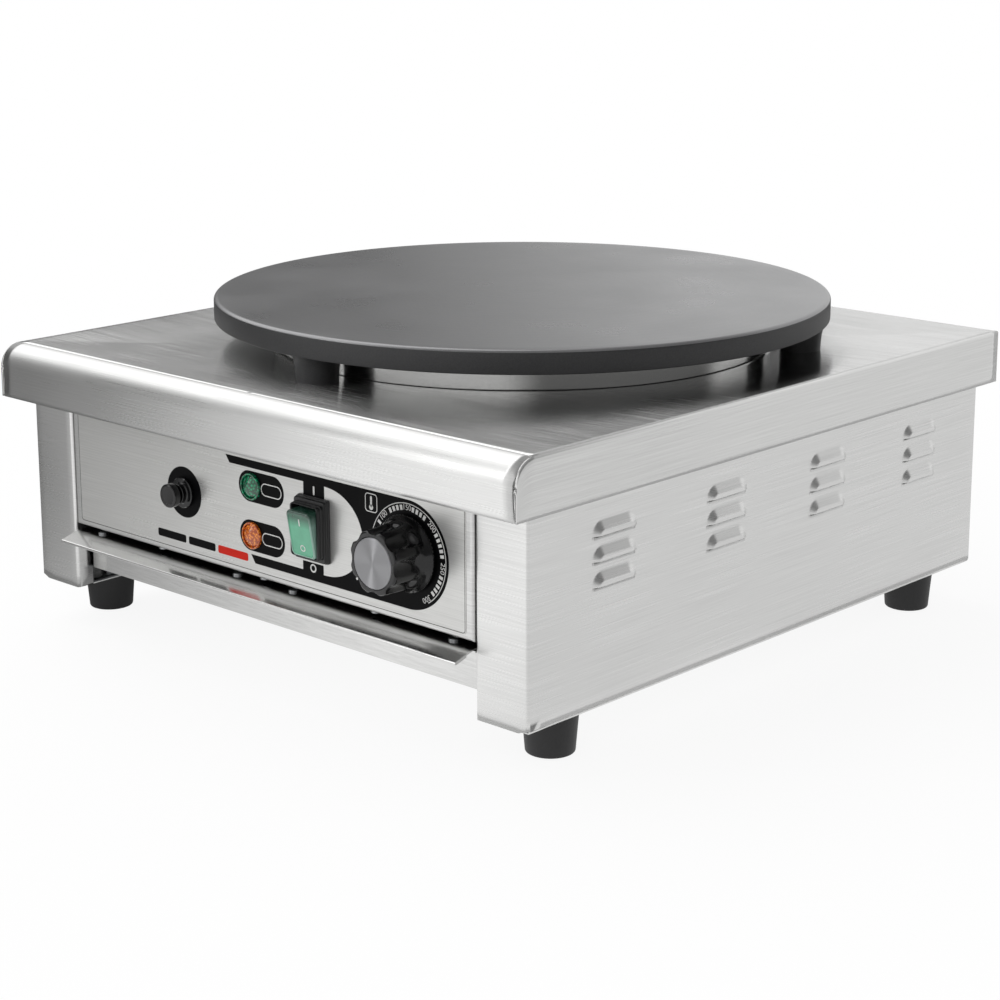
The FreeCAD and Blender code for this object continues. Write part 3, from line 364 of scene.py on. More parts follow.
def clear_plastic(name, colour, painted_glow, cell):
    """Tinted clear lens over a small lamp, moulded with facets about cell mm apart; its
    colour is painted lighter towards each facet's middle, a painted glow of light through the
    lens.
    """
    material, tree, shader = finish(name, Base_Color=linear(colour), Roughness=0.08, IOR=1.49,
                                    Coat_Weight=0.6, Coat_Roughness=0.03)
    space = pattern_space(tree, "Object", (1000 / cell,) * 3)
    facets = node(tree, "TexVoronoi", {"Vector": space, "Scale": 1.0}).outputs[0]
    # Painted glow: each facet's middle is painted in the lighter colour, the tint itself is the
    # lens's own.
    tone = blend(tree, ramp(tree, facets, 1, 0, 0.1, 0.6), linear(colour), linear(painted_glow))
    tree.links.new(tone, shader.inputs["Base Color"])
    bump(tree, shader, facets, 0.5, 0.4)
    return material


def nylon_painted_shade_and_light(name, upper, lower, high, low):
    """Translucent moulded nylon with painted shade and painted light: its upper part is
    painted darker, a painted shade of the housing behind it, and its lower part is painted
    lighter, a painted light, between two heights in metres."""
    material, tree, shader = finish(name, Roughness=0.2, IOR=1.52, Coat_Weight=0.4,
                                    Coat_Roughness=0.05)
    place = node(tree, "TexCoord").outputs["Object"]
    height = node(tree, "SeparateXYZ", {0: place}).outputs[2]
    cloud = node(tree, "TexNoise", {"Vector": place, "Scale": 160.0, "Detail": 2.0}).outputs[0]
    # Painted shade and painted light: the base colour is darker above the upper height and lighter
    # below the lower one.
    share = combine(tree, "ADD", ramp(tree, height, 0, 0.85, high, low),
                    ramp(tree, cloud, 0, 0.15))
    tree.links.new(blend(tree, share, linear(upper), linear(lower)), shader.inputs["Base Color"])
    return material


# Scratches per metre along each axis: across a flat front, along a sheet's own
# length, across the film, drawn out a little by rolling, and even all round.
FLAT_LINES, SHEET_LINES = (12, 12, 1700), (12, 1700, 1)
FILM_LINES, ROLLED_LINES, EVEN_SPECKS = (14, 14, 1500), (60, 900, 900), (900, 900, 900)

housing_steel = brushed("brushed stainless housing", "#d9d9d8", "#cdcdcc", "UV", SHEET_LINES,
                        roughness=0.30, depth=0.012)
cover_steel = brushed("brushed stainless cover", "#d4d4d3", "#c8c8c7", "UV", SHEET_LINES,
                      roughness=0.215, depth=0.012, stretch=0.93)
nose_steel = brushed("rolled and brushed stainless nose", "#d4d4d3", "#c8c8c7", "UV", SHEET_LINES,
                     roughness=0.30, depth=0.012, stretch=0.90)
inner_steel = brushed("galvanised sheet", "#a9acae", "#8f9294", "Object", FLAT_LINES,
                      roughness=0.42)
panel_steel = brushed("brushed stainless panel", "#d6d6d5", "#c4c4c3", "Object", FLAT_LINES,
                      roughness=0.34)
bright_steel = brushed("bright rolled stainless", "#cfcfce", "#c3c3c2", "Object", ROLLED_LINES,
                       roughness=0.16, depth=0.015)
zinc = brushed("zinc plated fasteners", "#a2a4a6", "#86888a", "Object", EVEN_SPECKS,
               roughness=0.24)
film_silver = brushed("silver printed film", "#d0d0ce", "#c0c0be", "Object", FILM_LINES,
                      roughness=0.32, depth=0.012, metallic=0.75)
film_black = moulded("black printed film", "#050506", 0.42, 0.9, 0.005, Specular_IOR_Level=0.06)
film_white = moulded("white print", "#d6d6d4", 0.45, 0.9, 0.005)
film_red = moulded("red print", "#c41f0c", 0.45, 0.9, 0.005, Specular_IOR_Level=0.15)
black_gloss = moulded("glossy black phenolic", "#070708", 0.16, 1.4, 0.008, Coat_Weight=0.35,
                      Coat_Roughness=0.06, Specular_IOR_Level=0.3)
black_satin = moulded("satin black nylon", "#161617", 0.38, 0.7, 0.03)
rubber = moulded("black rubber", "#151516", 0.55, 0.6, 0.05)
pale_plastic = moulded("pale moulded nylon", "#cfccc2", 0.5, 0.8, 0.03)
fibre = moulded("pale fibre board", "#c9c2b2", 0.9, 1.6, 0.4)
tube_skin = moulded("oxidised heating tube", "#3a3431", 0.55, 0.8, 0.04, Metallic=0.6)
iron = cast_iron("seasoned cast iron", "#2a2a2b", "#3a3a3b", metallic=0.2, roughness=0.50,
                 grain_depth=1.0, marks_depth=0.0)
faced_iron = cast_iron("faced and seasoned cast iron", "#787879", "#868687", metallic=0.75,
                       roughness=0.29, grain_depth=0.25, marks_depth=0.35)
green_clear = clear_plastic("clear green lens", "#02452e", "#12a873", 1.7)
amber_clear = clear_plastic("clear amber lens", "#a64204", "#ff9a2e", 1.5)
# The rocker and its boot both take painted shade on their upper part and painted light on their
# lower part.
rocker_green = nylon_painted_shade_and_light("translucent green nylon", "#044a33", "#58ab88", 0.1175, 0.1115)
boot_rim = nylon_painted_shade_and_light("clear boot over the rocker", "#0a3325", "#84a89a", 0.1195, 0.1135)
cap_metal = turned_aluminium("spun aluminium", *KNOB)

NODE_FINISH = {
    "brushed_steel": panel_steel, "cover_steel": panel_steel, "zinc_steel": inner_steel,
    "fastener_steel": zinc, "bright_steel": bright_steel, "panel_print": film_silver,
    "cast_iron": iron, "insulation": fibre, "element_tube": tube_skin,
    "black_plastic": black_gloss, "switch_black": black_satin, "rocker_green": rocker_green,
    "brushed_aluminium": cap_metal, "green_glass": green_clear, "amber_glass": amber_clear,
    "white_plastic": pale_plastic, "rubber": rubber,
}


def dress_nodes():
    """Gives every CAD node the material of its slot."""
    for entry in frame["record"]["subparts"]:
        item = frame["nodes"][entry["node"]]
        for slot in item.material_slots:
            slot.material = NODE_FINISH[entry["material_slot"]]


# Pieces

COVER_SIDE, COVER_FRONT, COVER_REAR = 225.4, -239.7, 231.7
COVER_EDGE, COVER_LOW, COVER_WALL = 182.2, 148.5, 1.2
NOSE, NOSE_FOOT, SIDE_BEND = 14.0, 166, 1.6
OPENING = PAN_RADIUS + 0.4
DISH_DEPTH, DISH_LIP, DISH_SPAN = 2.2, 1, 75
# Where the flat top ends and its bends begin.
TOP_SIDE, TOP_FRONT, TOP_REAR = COVER_SIDE - SIDE_BEND, COVER_FRONT + NOSE, COVER_REAR - SIDE_BEND


def dished(x, y):
    """Height of the cover's top: level at the edge, then eased down by 2.2 mm
    over the first 75 mm, as a folded sheet with stiff edges lies."""
    inset = np.minimum.reduce([COVER_SIDE - np.abs(x), y - TOP_FRONT, COVER_REAR - y])
    return COVER_EDGE - DISH_DEPTH * smooth((inset - DISH_LIP) / DISH_SPAN)


def cover_top():
    """The dished top, from its round opening out to where the bends begin."""
    angle = np.arange(720) * TURN / 720
    way = np.stack([np.cos(angle), np.sin(angle)], 1)
    least = 1e-9
    limit_x = TOP_SIDE / np.maximum(np.abs(way[:, 0]), least)
    limit_y = (np.where(way[:, 1] > 0, TOP_REAR - PLATE_Y, PLATE_Y - TOP_FRONT)
               / np.maximum(np.abs(way[:, 1]), least))
    share = np.linspace(0, 1, 30)[:, None]
    radius = OPENING + (np.minimum(limit_x, limit_y)[None, :] - OPENING) * share
    x, y = radius * way[:, 0], PLATE_Y + radius * way[:, 1]
    top = skin(np.stack([x, y, dished(x, y)], 2), caps=False, flip=True)
    top["uv"] = top["points"][:, :2]
    return top


def cover_nose():
    """The round nose and the front flange: its ends draw in by 1.7 mm below the
    bend and come out again by 0.9 mm towards the lower edge."""
    bend = arc((TOP_FRONT, COVER_EDGE - NOSE), NOSE, 90, 180, 22)
    wall = [(COVER_FRONT, z) for z in np.linspace(NOSE_FOOT, COVER_LOW, 8)]
    profile = np.concatenate([bend, wall])
    drop = (COVER_EDGE - profile[:, 1]) / (COVER_EDGE - COVER_LOW)
    drawn_in, let_out = smooth((drop - 0.2) / 0.22), smooth((drop - 0.55) / 0.4)
    half = TOP_SIDE - 0.2 - 1.5 * drawn_in + 0.9 * let_out
    rows = carried(profile, half[:, None] * np.linspace(-1, 1, 61))
    return skin(rows, wrap=False, caps=False, flip=True, look=1)


def cover_side(sign):
    """One side flange with its bend, whose front end follows the nose."""
    curved = arc((TOP_FRONT, 0), NOSE, 180, 92, 20)[:, 0]
    y = np.concatenate([curved, np.linspace(TOP_FRONT, TOP_REAR, 60)])
    ahead = np.minimum(y - TOP_FRONT, 0)
    crown = COVER_EDGE - NOSE + np.sqrt(np.maximum(NOSE ** 2 - ahead ** 2, 0))
    turn = np.radians(np.linspace(0, 90, 7))[:, None]
    bend_x = COVER_SIDE - SIDE_BEND + SIDE_BEND * np.cos(turn) + 0 * y
    bend_z = crown - SIDE_BEND + SIDE_BEND * np.sin(turn)
    share = np.linspace(0, 1, 8)[:-1, None]
    wall_z = COVER_LOW + (crown - SIDE_BEND - COVER_LOW) * share
    x = np.concatenate([np.full_like(wall_z, COVER_SIDE), bend_x])
    z = np.concatenate([wall_z, bend_z])
    rows = np.stack([sign * x, np.broadcast_to(y, x.shape), z], 2)
    return skin(rows, wrap=False, caps=False, flip=sign < 0)


def cover_back():
    """The rear flange with its bend."""
    bend = arc((TOP_REAR, COVER_EDGE - SIDE_BEND), SIDE_BEND, 0, 90, 7)
    levels = np.linspace(COVER_LOW, COVER_EDGE - SIDE_BEND, 8)[:-1]
    profile = np.concatenate([[(COVER_REAR, z) for z in levels], bend])
    reach = TOP_SIDE + 0.6
    return skin(carried(profile, np.linspace(reach, -reach, 41)), wrap=False, caps=False)


def cover():
    """The folded top cover: a dished top with a round opening, a nose carried
    along the front, and three plain flanges."""
    patches = [cover_top(), cover_nose(), cover_side(1), cover_side(-1), cover_back()]
    piece("cover_sheet", patches, [cover_steel, nose_steel], "housing",
          ["top_cover"], crease=40, thickness=COVER_WALL)


LOUVRE = {"length": 38.5, "height": 8.4, "reach": 2.3, "slope": 5.2, "rise": 14.6, "base": 95.6,
          "middle": 1.6, "pitch": 101.2, "rows": 3}


def hood(across, up):
    """Depth of one pressed louvre: full along its sharp lower edge and for 3.2 mm
    above it, then falling evenly to nothing over 5.2 mm. The ends are quarter
    cones: there the distance from the cone's foot takes the place of the height."""
    middle = LOUVRE["length"] / 2 - LOUVRE["height"]
    beyond = np.maximum(np.abs(across) - middle, 0)
    height = np.hypot(beyond, up)
    inside = (up >= 0) & (up <= LOUVRE["height"])
    return LOUVRE["reach"] * np.clip((LOUVRE["height"] - height) / LOUVRE["slope"], 0, 1) * inside


# Spacing of the wall's mesh: the height of a slit, the least gap between two
# columns, and the pressed depth from which the slit below is open.
SLIT, CLOSEST, OPEN_FROM = 0.02, 0.12, 0.25


def louvre_grid(columns, low, high, start, end):
    """Rows and columns close together at the louvres, and the quads of their slits.
    Returns positions along the wall, heights, pressed depth and the open quads."""
    half, first = LOUVRE["length"] / 2, LOUVRE["base"]
    across = [np.linspace(start, end, 50)]
    across += [middle + np.linspace(-half, half, 48) for middle in columns]
    across = np.unique(np.round(np.concatenate(across), 3))
    across = across[np.concatenate([[True], np.diff(across) > CLOSEST])]
    slits = [first + step * LOUVRE["rise"] for step in range(LOUVRE["rows"])]
    heights = [low, high, *np.arange(low + 6, first - 2, 6), first + 39, 150, 165]
    for base in slits:
        heights += [base, *(base + np.linspace(SLIT, LOUVRE["height"], 13)), base + 11.5]
    heights = np.array(sorted(set(np.round(heights, 3))))
    depth = np.zeros((len(heights), len(across)))
    for middle in columns:
        for base in slits:
            up = heights[:, None] - base
            depth += hood(across[None, :] - middle, np.where(up < SLIT / 2, -1, up))
    gaps = np.zeros((len(heights) - 1, len(across) - 1), bool)
    for base in slits:
        row = int(np.argmin(np.abs(heights - base)))
        open_here = depth[row + 1] > OPEN_FROM
        gaps[row] |= open_here[:-1] & open_here[1:]
    return across, heights, depth, gaps


POST, RETURN, BEND, SHEET_WALL = 38.6, 12.0, 2.0, 1.0
BEND_STEPS, FLANGE_STEPS = 7, 6


def side_panel(name, sign):
    """Bent side sheet: a plan outline of return, post, wall and rear flange
    carried upwards, pressed out by the louvres, and a floor flange below."""
    columns = [LOUVRE["middle"] + LOUVRE["pitch"] * step for step in (-1.5, -0.5, 0.5, 1.5)]
    along, heights, depth, gaps = louvre_grid(columns, FOOT_HEIGHT + BEND, HOUSING_TOP,
                                              FRONT + BEND, REAR - BEND)
    inner, outer = HALF_WIDTH - POST, HALF_WIDTH - BEND
    post = np.concatenate([
        [(inner, FRONT + RETURN), (inner, FRONT + BEND + 2)],
        arc((inner + BEND, FRONT + BEND), BEND, 180, 270, BEND_STEPS),
        [(x, FRONT) for x in np.linspace(inner + BEND, outer, 8)[1:-1]],
        arc((outer, FRONT + BEND), BEND, 270, 356, BEND_STEPS)])
    wall = np.stack([np.full_like(along, HALF_WIDTH), along], 1)
    flange = np.concatenate([
        arc((outer, REAR - BEND), BEND, 4, 90, BEND_STEPS),
        [(x, REAR) for x in np.linspace(outer, inner, FLANGE_STEPS + 1)[1:]]])
    plan = np.concatenate([post, wall, flange])
    rows, before, after = len(heights), len(post), len(post) + len(along)
    points = np.zeros((rows, len(plan), 3))
    points[..., :2] = plan
    points[..., 2] = heights[:, None]
    points[:, before:after, 0] += depth
    points[0, :before - BEND_STEPS, 2] = FOOT_HEIGHT
    points[0, -FLANGE_STEPS:, 2] = FOOT_HEIGHT
    points[..., 0] *= sign
    mask = np.zeros((rows - 1, len(plan) - 1), bool)
    mask[:, before:after - 1] = gaps
    patches = [skin(points, wrap=False, caps=False, flip=sign < 0, gaps=mask)]
    floor_line = np.concatenate([
        arc((outer, FOOT_HEIGHT + BEND), BEND, 0, -90, BEND_STEPS),
        [(x, FOOT_HEIGHT) for x in np.linspace(outer, inner, 6)[1:]]])
    y = np.linspace(FRONT + BEND, REAR - BEND, 30)
    shelf = np.stack([np.repeat(floor_line[:, :1], len(y), 1) * sign,
                      np.broadcast_to(y, (len(floor_line), len(y))),
                      np.repeat(floor_line[:, 1:], len(y), 1)], 2)
    patches.append(skin(shelf, wrap=False, caps=False, flip=sign > 0))
    piece(name + "_sheet", patches, [housing_steel], "housing", [name],
          crease=35, thickness=SHEET_WALL)


def griddle():
    """The cast plate: a faced top, a rounded shoulder and a rough rim turned from
    one profile, with three tapered lugs that flare into its underside."""
    wide, deep, foot_round, ceiling = 3.2, 2.4, 0.8, PLATE_BASE + 2.5
    shoulder = arc((0, 0), 1, 0, 90, 9) * (wide, deep) + (PLATE_RADIUS - wide, PLATE_TOP - deep)
    edge = PLATE_RADIUS - foot_round
    rim = np.concatenate([
        [(0, ceiling), (137, ceiling), (137, PLATE_BASE), (edge, PLATE_BASE)],
        arc((edge, PLATE_BASE + foot_round), foot_round, -90, 0, 5), shoulder[:3]])
    face = np.concatenate([shoulder[2:], [(r, PLATE_TOP) for r in (190, 150, 100, 50, 0)]])
    patches = [skin(moved(lathe(rim, 256), 0, PLATE_Y), caps=False),
               skin(moved(lathe(face, 256), 0, PLATE_Y), caps=False, look=1)]
    tall, sunk = PLATE_BASE - LUG_LOW, PLATE_BASE + 0.1
    lug = [(0, LUG_LOW), (12.2, LUG_LOW), (12.9, LUG_LOW + 0.7), (13.1, LUG_LOW + tall * 0.3),
           (13.6, LUG_LOW + tall * 0.6), (14.6, LUG_LOW + tall * 0.85), (16.6, sunk), (0, sunk)]
    for turn in LUG_TURNS:
        x, y = rotated(LUG_CIRCLE, 0, math.radians(turn))
        patches.append(skin(moved(lathe(lug, 48), x, PLATE_Y + y), caps=False))
    piece("plate_casting", patches, [iron, faced_iron], "housing",
          ["griddle_plate"], crease=30)


def pan():
    """The thin round pan below the plate, turned from its wall section."""
    rim, inner, corner = PLATE_BASE - 0.3, PAN_RADIUS - PAN_WALL, 2
    profile = [(0, PAN_FLOOR), (PAN_RADIUS - corner, PAN_FLOOR), (PAN_RADIUS, PAN_FLOOR + corner),
               (PAN_RADIUS, rim), (inner, rim), (inner, PAN_FILL), (0, PAN_FILL)]
    piece("pan_ring", [skin(moved(lathe(profile, 256), 0, PLATE_Y), caps=False)], [bright_steel],
          "housing", ["element_pan"])


def feet():
    """Four rubber feet turned from one profile, hollow below."""
    profile = np.concatenate([
        [(0, 9), (6.5, 9), (6.5, 0.6), (7.1, 0)], arc((12.8, 1.5), 1.5, -90, -4, 6),
        [(15.0, 10), (15.6, 17), (16.2, 23.4), (15.6, 24.55), (0, 24.55)]])
    for side, sign in (("left", -1), ("right", 1)):
        for end, y in (("front", FOOT_FRONT_Y), ("rear", FOOT_REAR_Y)):
            name = "foot_%s_%s" % (end, side)
            rings = moved(lathe(profile, 64), sign * FOOT_X, y)
            piece(name + "_rubber", [skin(rings, caps=False)], [rubber], "housing",
                  [name])


# Eight hollows of 7 mm radius round points 23.3 mm out, with edges eased by the
# softness, from the skirt's cone up and outside the face.
FLUTES, FLUTE_RADIUS, FLUTE_CIRCLE, FLUTE_SOFTNESS = 8, 7, 23.3, 2.5
FLUTE_START, FLUTE_RUN, FACE_RADIUS = 7.8, 3.5, 15.2


def flutes(angle, radius, height):
    """Where a flute's circle reaches inwards past the grip, the radius follows it."""
    half = TURN / FLUTES / 2
    away = np.mod(angle + half, 2 * half) - half
    side = FLUTE_CIRCLE * np.sin(away)
    reach = FLUTE_CIRCLE * np.cos(away) - np.sqrt(np.maximum(FLUTE_RADIUS ** 2 - side ** 2, 0))
    cut = np.where(np.abs(side) < FLUTE_RADIUS, reach, 99)
    eased = np.exp(-FLUTE_SOFTNESS * (cut - radius)) + 1
    softened = -np.log(eased) / FLUTE_SOFTNESS + radius
    share = smooth((height - FLUTE_START) / FLUTE_RUN) * (radius > FACE_RADIUS)
    return radius + (np.minimum(softened, radius) - radius) * share


def knob():
    """The fluted knob, its metal disc and the pointer mark on its skirt."""
    profile = np.concatenate([
        [(3.05, 1.2), (21.6, 1.2), (22.3, 1.7), (22.3, 3.0), (22.0, 3.5), (20.9, 4.4),
         (19.9, 6.5), (19.3, 8.4)],
        [(19.1, z) for z in np.linspace(9.0, 12.4, 8)], [(18.95, 15), (18.7, 20), (18.5, 25.6)],
        arc((17.1, 26.3), 1.4, 0, 90, 6),
        [(15.1, 27.7), (14.7, 27.3), (14.7, 26.6), (0, 26.6)]])
    grip = on_front(lathe(profile, 192, flutes), *KNOB)
    piece("knob_grip", [skin(grip, caps=False)], [black_gloss], "knob",
          ["thermostat_knob"], crease=38)
    disc = [(0, 26.7), (14.5, 26.7), (14.5, 27.7), (14.2, 28.0), (4, 28.0), (0, 28.0)]
    piece("knob_disc", [skin(on_front(lathe(disc, 96), *KNOB), caps=False)], [cap_metal], "knob",
          ["knob_cap"])
    skirt_level, skirt_fall, mark_out, mark_turn = 3.85, 0.82, 21.0, math.radians(10)
    mark = prism(rounded_rectangle(1.6, 3.6, 0.4, 3), 0.2)
    mark[..., 2] += skirt_level - skirt_fall * mark[..., 0]
    across, up = rotated(mark[..., 0] + mark_out, mark[..., 1], mark_turn)
    mark = np.stack([across, up, mark[..., 2]], 2)
    dot = moved(prism(rounded_rectangle(1.5, 1.5, 0.7, 4), 0.12), -12.3, -11.1, 27.68)
    piece("knob_marks", [skin(on_front(mark, *KNOB)), skin(on_front(dot, *KNOB))], [film_white],
          "knob")


def leaned(outline, level):
    """Lays an outline on the rocker at a level above its axis, leaned back with it."""
    up, out = rotated(outline[:, 1], level, ROCKER_TILT)
    return on_front(np.column_stack([outline[:, 0], up, out + ROCKER_PIVOT]), *SWITCH)


def switch():
    """The stepped switch frame and its rocker under a clear boot."""
    steps = [(26.5, 38.4, 1.6, 0.25), (26.5, 38.4, 1.6, 1.3), (26.0, 37.7, 1.5, 1.5),
             (26.0, 37.6, 1.5, 2.7), (25.5, 36.8, 1.4, 2.9), (25.5, 36.4, 1.4, 4.2),
             (25.1, 36.0, 1.4, 4.5), (24.6, 32.6, 2.8, 4.6), (24.6, 32.4, 2.8, 6.1),
             (24.0, 31.8, 2.6, 6.3), (24.0, 31.8, 2.6, 8.0), (23.2, 31.2, 2.2, 8.6),
             (20.9, 30.6, 1.2, 8.6), (20.9, 30.6, 1.2, 2.0)]
    rings = [at_level(rounded_rectangle(width, height, radius), level)
             for width, height, radius, level in steps]
    piece("switch_frame", [skin(on_front(np.stack(rings), *SWITCH), caps=False)], [black_satin],
          "housing", ["switch_housing"], crease=25)
    shape = rounded_rectangle(20.4, 28.4, 3.0) / (20.4, 28.4)
    shell = [(0, 0, -3), (20.2, 26.0, -3), (20.4, 27.4, 3), (20.4, 28.4, 7.6), (20.4, 28.4, 8.8),
             (19.9, 27.8, 9.5), (18.8, 26.8, 9.9), (17.6, 25.6, 9.9)]
    face = [(17.6, 25.6, 9.9), (16.8, 24.8, 9.5), (16.2, 24.2, 9.45), (0, 0, 9.45)]
    green, white, rim = range(3)
    patches = []
    for levels, look in ((shell, rim), (face, green)):
        rings = [leaned(shape * (width, height), level) for width, height, level in levels]
        patches.append(skin(np.stack(rings), caps=False, look=look))
    mark_level, bar_up, ring_up = 9.55, 7.6, -8.4
    bar = rounded_rectangle(0.9, 4.4, 0.4, 6) + (0, bar_up)
    ring = [rounded_rectangle(size, size, size / 2 - 0.01, 6) + (0, ring_up)
            for size in (4.2, 2.9)]
    patches.append(flat(leaned(bar, mark_level), white))
    outlines = np.stack([leaned(outline, mark_level) for outline in ring])
    patches.append(skin(outlines, caps=False, look=white))
    piece("rocker_key", patches, [rocker_green, film_white, boot_rim], "rocker",
          ["switch_rocker"], crease=30)


def lamps():
    """Two round lenses, each turned from one low dome with a rim."""
    profile = np.concatenate([[(0, 0.3), (8.2, 0.3), (8.2, 1.6), (7.9, 2.0), (7.2, 2.0)],
                              arc((0, -6.9), 10.5, 46, 90, 12)])
    for name, height, look, slot in (("green", GREEN_Z, green_clear, "green_glass"),
                                     ("orange", ORANGE_Z, amber_clear, "amber_glass")):
        dome = on_front(lathe(profile, 64), LAMP_X, height)
        piece(name + "_dome", [skin(dome, caps=False)], [look], "housing", [name + "_lens"])


def reset():
    """The reset button and its collar, both turned."""
    ring = [(4.1, 0.3), (9.6, 0.3), (9.6, 2.4), (9.0, 3.0), (6.9, 3.2), (6.3, 3.8), (6.3, 6.2),
            (6.0, 6.5), (4.1, 6.5)]
    piece("reset_ring", [skin(on_front(lathe(ring, 64), *RESET), caps=False)], [black_gloss],
          "housing", ["reset_collar"])
    button = np.concatenate([
        [(0, -5.9), (3.95, -5.9), (3.95, 9.0), (6.9, 9.0), (7.4, 9.5), (7.4, 12.6)],
        arc((6.4, 12.6), 1.0, 0, 90, 5), [(5.4, 13.6), (5.0, 13.3), (0, 13.0)]])
    piece("reset_key", [skin(on_front(lathe(button, 64), *RESET), caps=False)], [black_gloss],
          "reset", ["reset_button"])


# Print on the film: flat outlines in millimetres on the panel, each at a level
# of its own. BLACK, WHITE and RED are places in the film's list of materials.

BLACK, WHITE, RED = 1, 2, 3
PRINT_LIFT, NUMERAL_LIFT = 0.02, 0.14
SHEET_MIDDLE = (0, 114.5)
DIAL = (126.9, 108.6)
DIAL_NUMBERS = (("100", 135), ("150", 91), ("200", 46), ("250", -6), ("300", -58))
NUMBER_CIRCLE, NUMBER_SIZE, NUMBER_ROOM = 26.9, 4.6, 9.5
PILL_LEVELS = (124.1, 93.9)
THERMOMETER = (97.9, 133.0)
BARS = ((-93.0, -66.0, BLACK), (-63.5, -38.5, BLACK), (-36.0, -8.5, RED))


def circle(x, z, radius):
    """Points round a circle."""
    return arc((x, z), radius, 0, 360, 64)


def band(inner, outer, start, end, count):
    """A piece of a ring round the dial's middle between two radii and two angles."""
    return np.concatenate([arc(DIAL, outer, start, end, count),
                           arc(DIAL, inner, end, start, count)])


def stadium(left, right, low, high):
    """A pill between four limits."""
    pill = rounded_rectangle(right - left, high - low, (high - low) / 2 - 0.01, 16)
    return pill + ((left + right) / 2, (low + high) / 2)


def printed(outline, level, look):
    """One printed shape, raised by two hundredths of a millimetre per level."""
    return flat(on_front(at_level(outline, FILM + PRINT_LIFT * (1 + level))), look)


def digits(text, x, z, turn):
    """Plain numerals as a mesh patch on the panel, turned by degrees."""
    curve = bpy.data.curves.new("numeral", "FONT")
    curve.body = text
    curve.size = NUMBER_SIZE
    curve.align_x = "CENTER"
    curve.align_y = "CENTER"
    curve.resolution_u = 3
    holder = bpy.data.objects.new("numeral", curve)
    mesh = bpy.data.meshes.new_from_object(holder)
    points = np.array([v.co[:2] for v in mesh.vertices])
    faces = [list(face.vertices) for face in mesh.polygons]
    bpy.data.objects.remove(holder)
    bpy.data.meshes.remove(mesh)
    across, up = rotated(points[:, 0], points[:, 1], math.radians(turn))
    outline = at_level(np.column_stack([across + x, up + z]), FILM + NUMERAL_LIFT)
    return {"points": on_front(outline), "faces": faces, "look": WHITE, "uv": points}


def black_field():
    """One black outline: a slanted upper bar, a lobe round the switch, a lower bar
    and a half circle round the dial."""
    way = np.radians(np.linspace(88, -88, 40))
    upper = [(-26.8, 140.2), (-23.4, 135.4), (60.0, 135.4)]
    lobe = np.column_stack([60.0 + 30.6 * np.cos(way), 108.8 + 26.5 * np.sin(way)])
    lower = [(60.0, 82.2), (-5.8, 82.2), (-2.2, 77.0), (118, 77.0)]
    return np.concatenate([upper, lobe, lower, arc(DIAL, 31.6, -90, 90, 60)])


def lamp_pill(middle):
    """A black pill round a lamp, with a thin white outline beside the lamp."""
    return [printed(stadium(-15.3, 24.6, middle - 9.5, middle + 9.5), 0, BLACK),
            printed(stadium(4.5, 22.5, middle - 3.9, middle + 3.9), 1, WHITE),
            printed(stadium(5.1, 21.9, middle - 3.3, middle + 3.3), 2, BLACK)]


def switch_marks():
    """Black blocks above and below the switch with a plain stroke and a plain ring."""
    return [printed(rounded_rectangle(17.7, 9.6, 0.5, 4) + (50.4, 131.0), 1, BLACK),
            printed(rounded_rectangle(17.6, 6.4, 0.5, 4) + (48.8, 84.6), 1, BLACK),
            printed(rounded_rectangle(1.4, 5.2, 0.3, 3) + (50.4, 131.4), 2, WHITE),
            printed(circle(48.8, 84.5, 2.6), 2, WHITE),
            printed(circle(48.8, 84.5, 1.6), 3, BLACK)]


def dial_print():
    """The dial's outer line, its numbers, and a block wherever no number is near."""
    patches = [printed(band(29.1, 29.6, -58, 160, 80), 1, WHITE)]
    for number, turn in DIAL_NUMBERS:
        x, z = rotated(NUMBER_CIRCLE, 0, math.radians(turn))
        patches.append(digits(number, DIAL[0] + x, DIAL[1] + z, turn - 90))
    for turn in np.arange(-51, 150, 6.6):
        if min(abs(turn - other) for _, other in DIAL_NUMBERS) > NUMBER_ROOM:
            patches.append(printed(band(25.3, 28.2, turn - 2.0, turn + 2.0, 4), 1, WHITE))
    return patches


def thermometer():
    """A small plain thermometer in a rounded frame."""
    x, z = THERMOMETER
    return [printed(rounded_rectangle(9.8, 11.0, 2.2, 6) + THERMOMETER, 1, WHITE),
            printed(rounded_rectangle(8.7, 9.9, 1.7, 6) + THERMOMETER, 2, BLACK),
            printed(rounded_rectangle(1.5, 6.4, 0.7, 4) + (x, z + 0.8), 3, WHITE),
            printed(circle(x, z - 2.6, 1.6), 3, WHITE)]


def film():
    """The printed film: a silver sheet with a fine dark line painted along its edge, a
    painted shade for the step of the film's edge, a black field round the dial, black pills round
    the lamps, plain numbers and plain bars."""
    sheet = on_front(prism(rounded_rectangle(342.4, 86.0, 2.5), FILM), *SHEET_MIDDLE)
    # A thin black band just inside the sheet's edge: painted shade for the film's step, drawn in
    # the black print.
    edge = [at_level(rounded_rectangle(width, height, radius) + SHEET_MIDDLE, FILM + PRINT_LIFT)
            for width, height, radius in ((341.2, 84.8, 2.0), (340.5, 84.1, 1.7))]
    patches = [skin(sheet), skin(on_front(np.stack(edge)), caps=False, flip=True, look=BLACK),
               printed(black_field(), 0, BLACK)]
    for middle in PILL_LEVELS:
        patches += lamp_pill(middle)
    patches.append(printed(circle(*RESET, 16.0), 0, BLACK))
    patches += switch_marks() + dial_print() + thermometer()
    for left, right, tone in BARS:
        bar = rounded_rectangle(right - left, 5.0, 1.2, 4) + ((left + right) / 2, 79.5)
        patches.append(printed(bar, 0, tone))
    piece("panel_print_sheet", patches, [film_silver, film_black, film_white, film_red],
          "housing", ["panel_film"], crease=30)


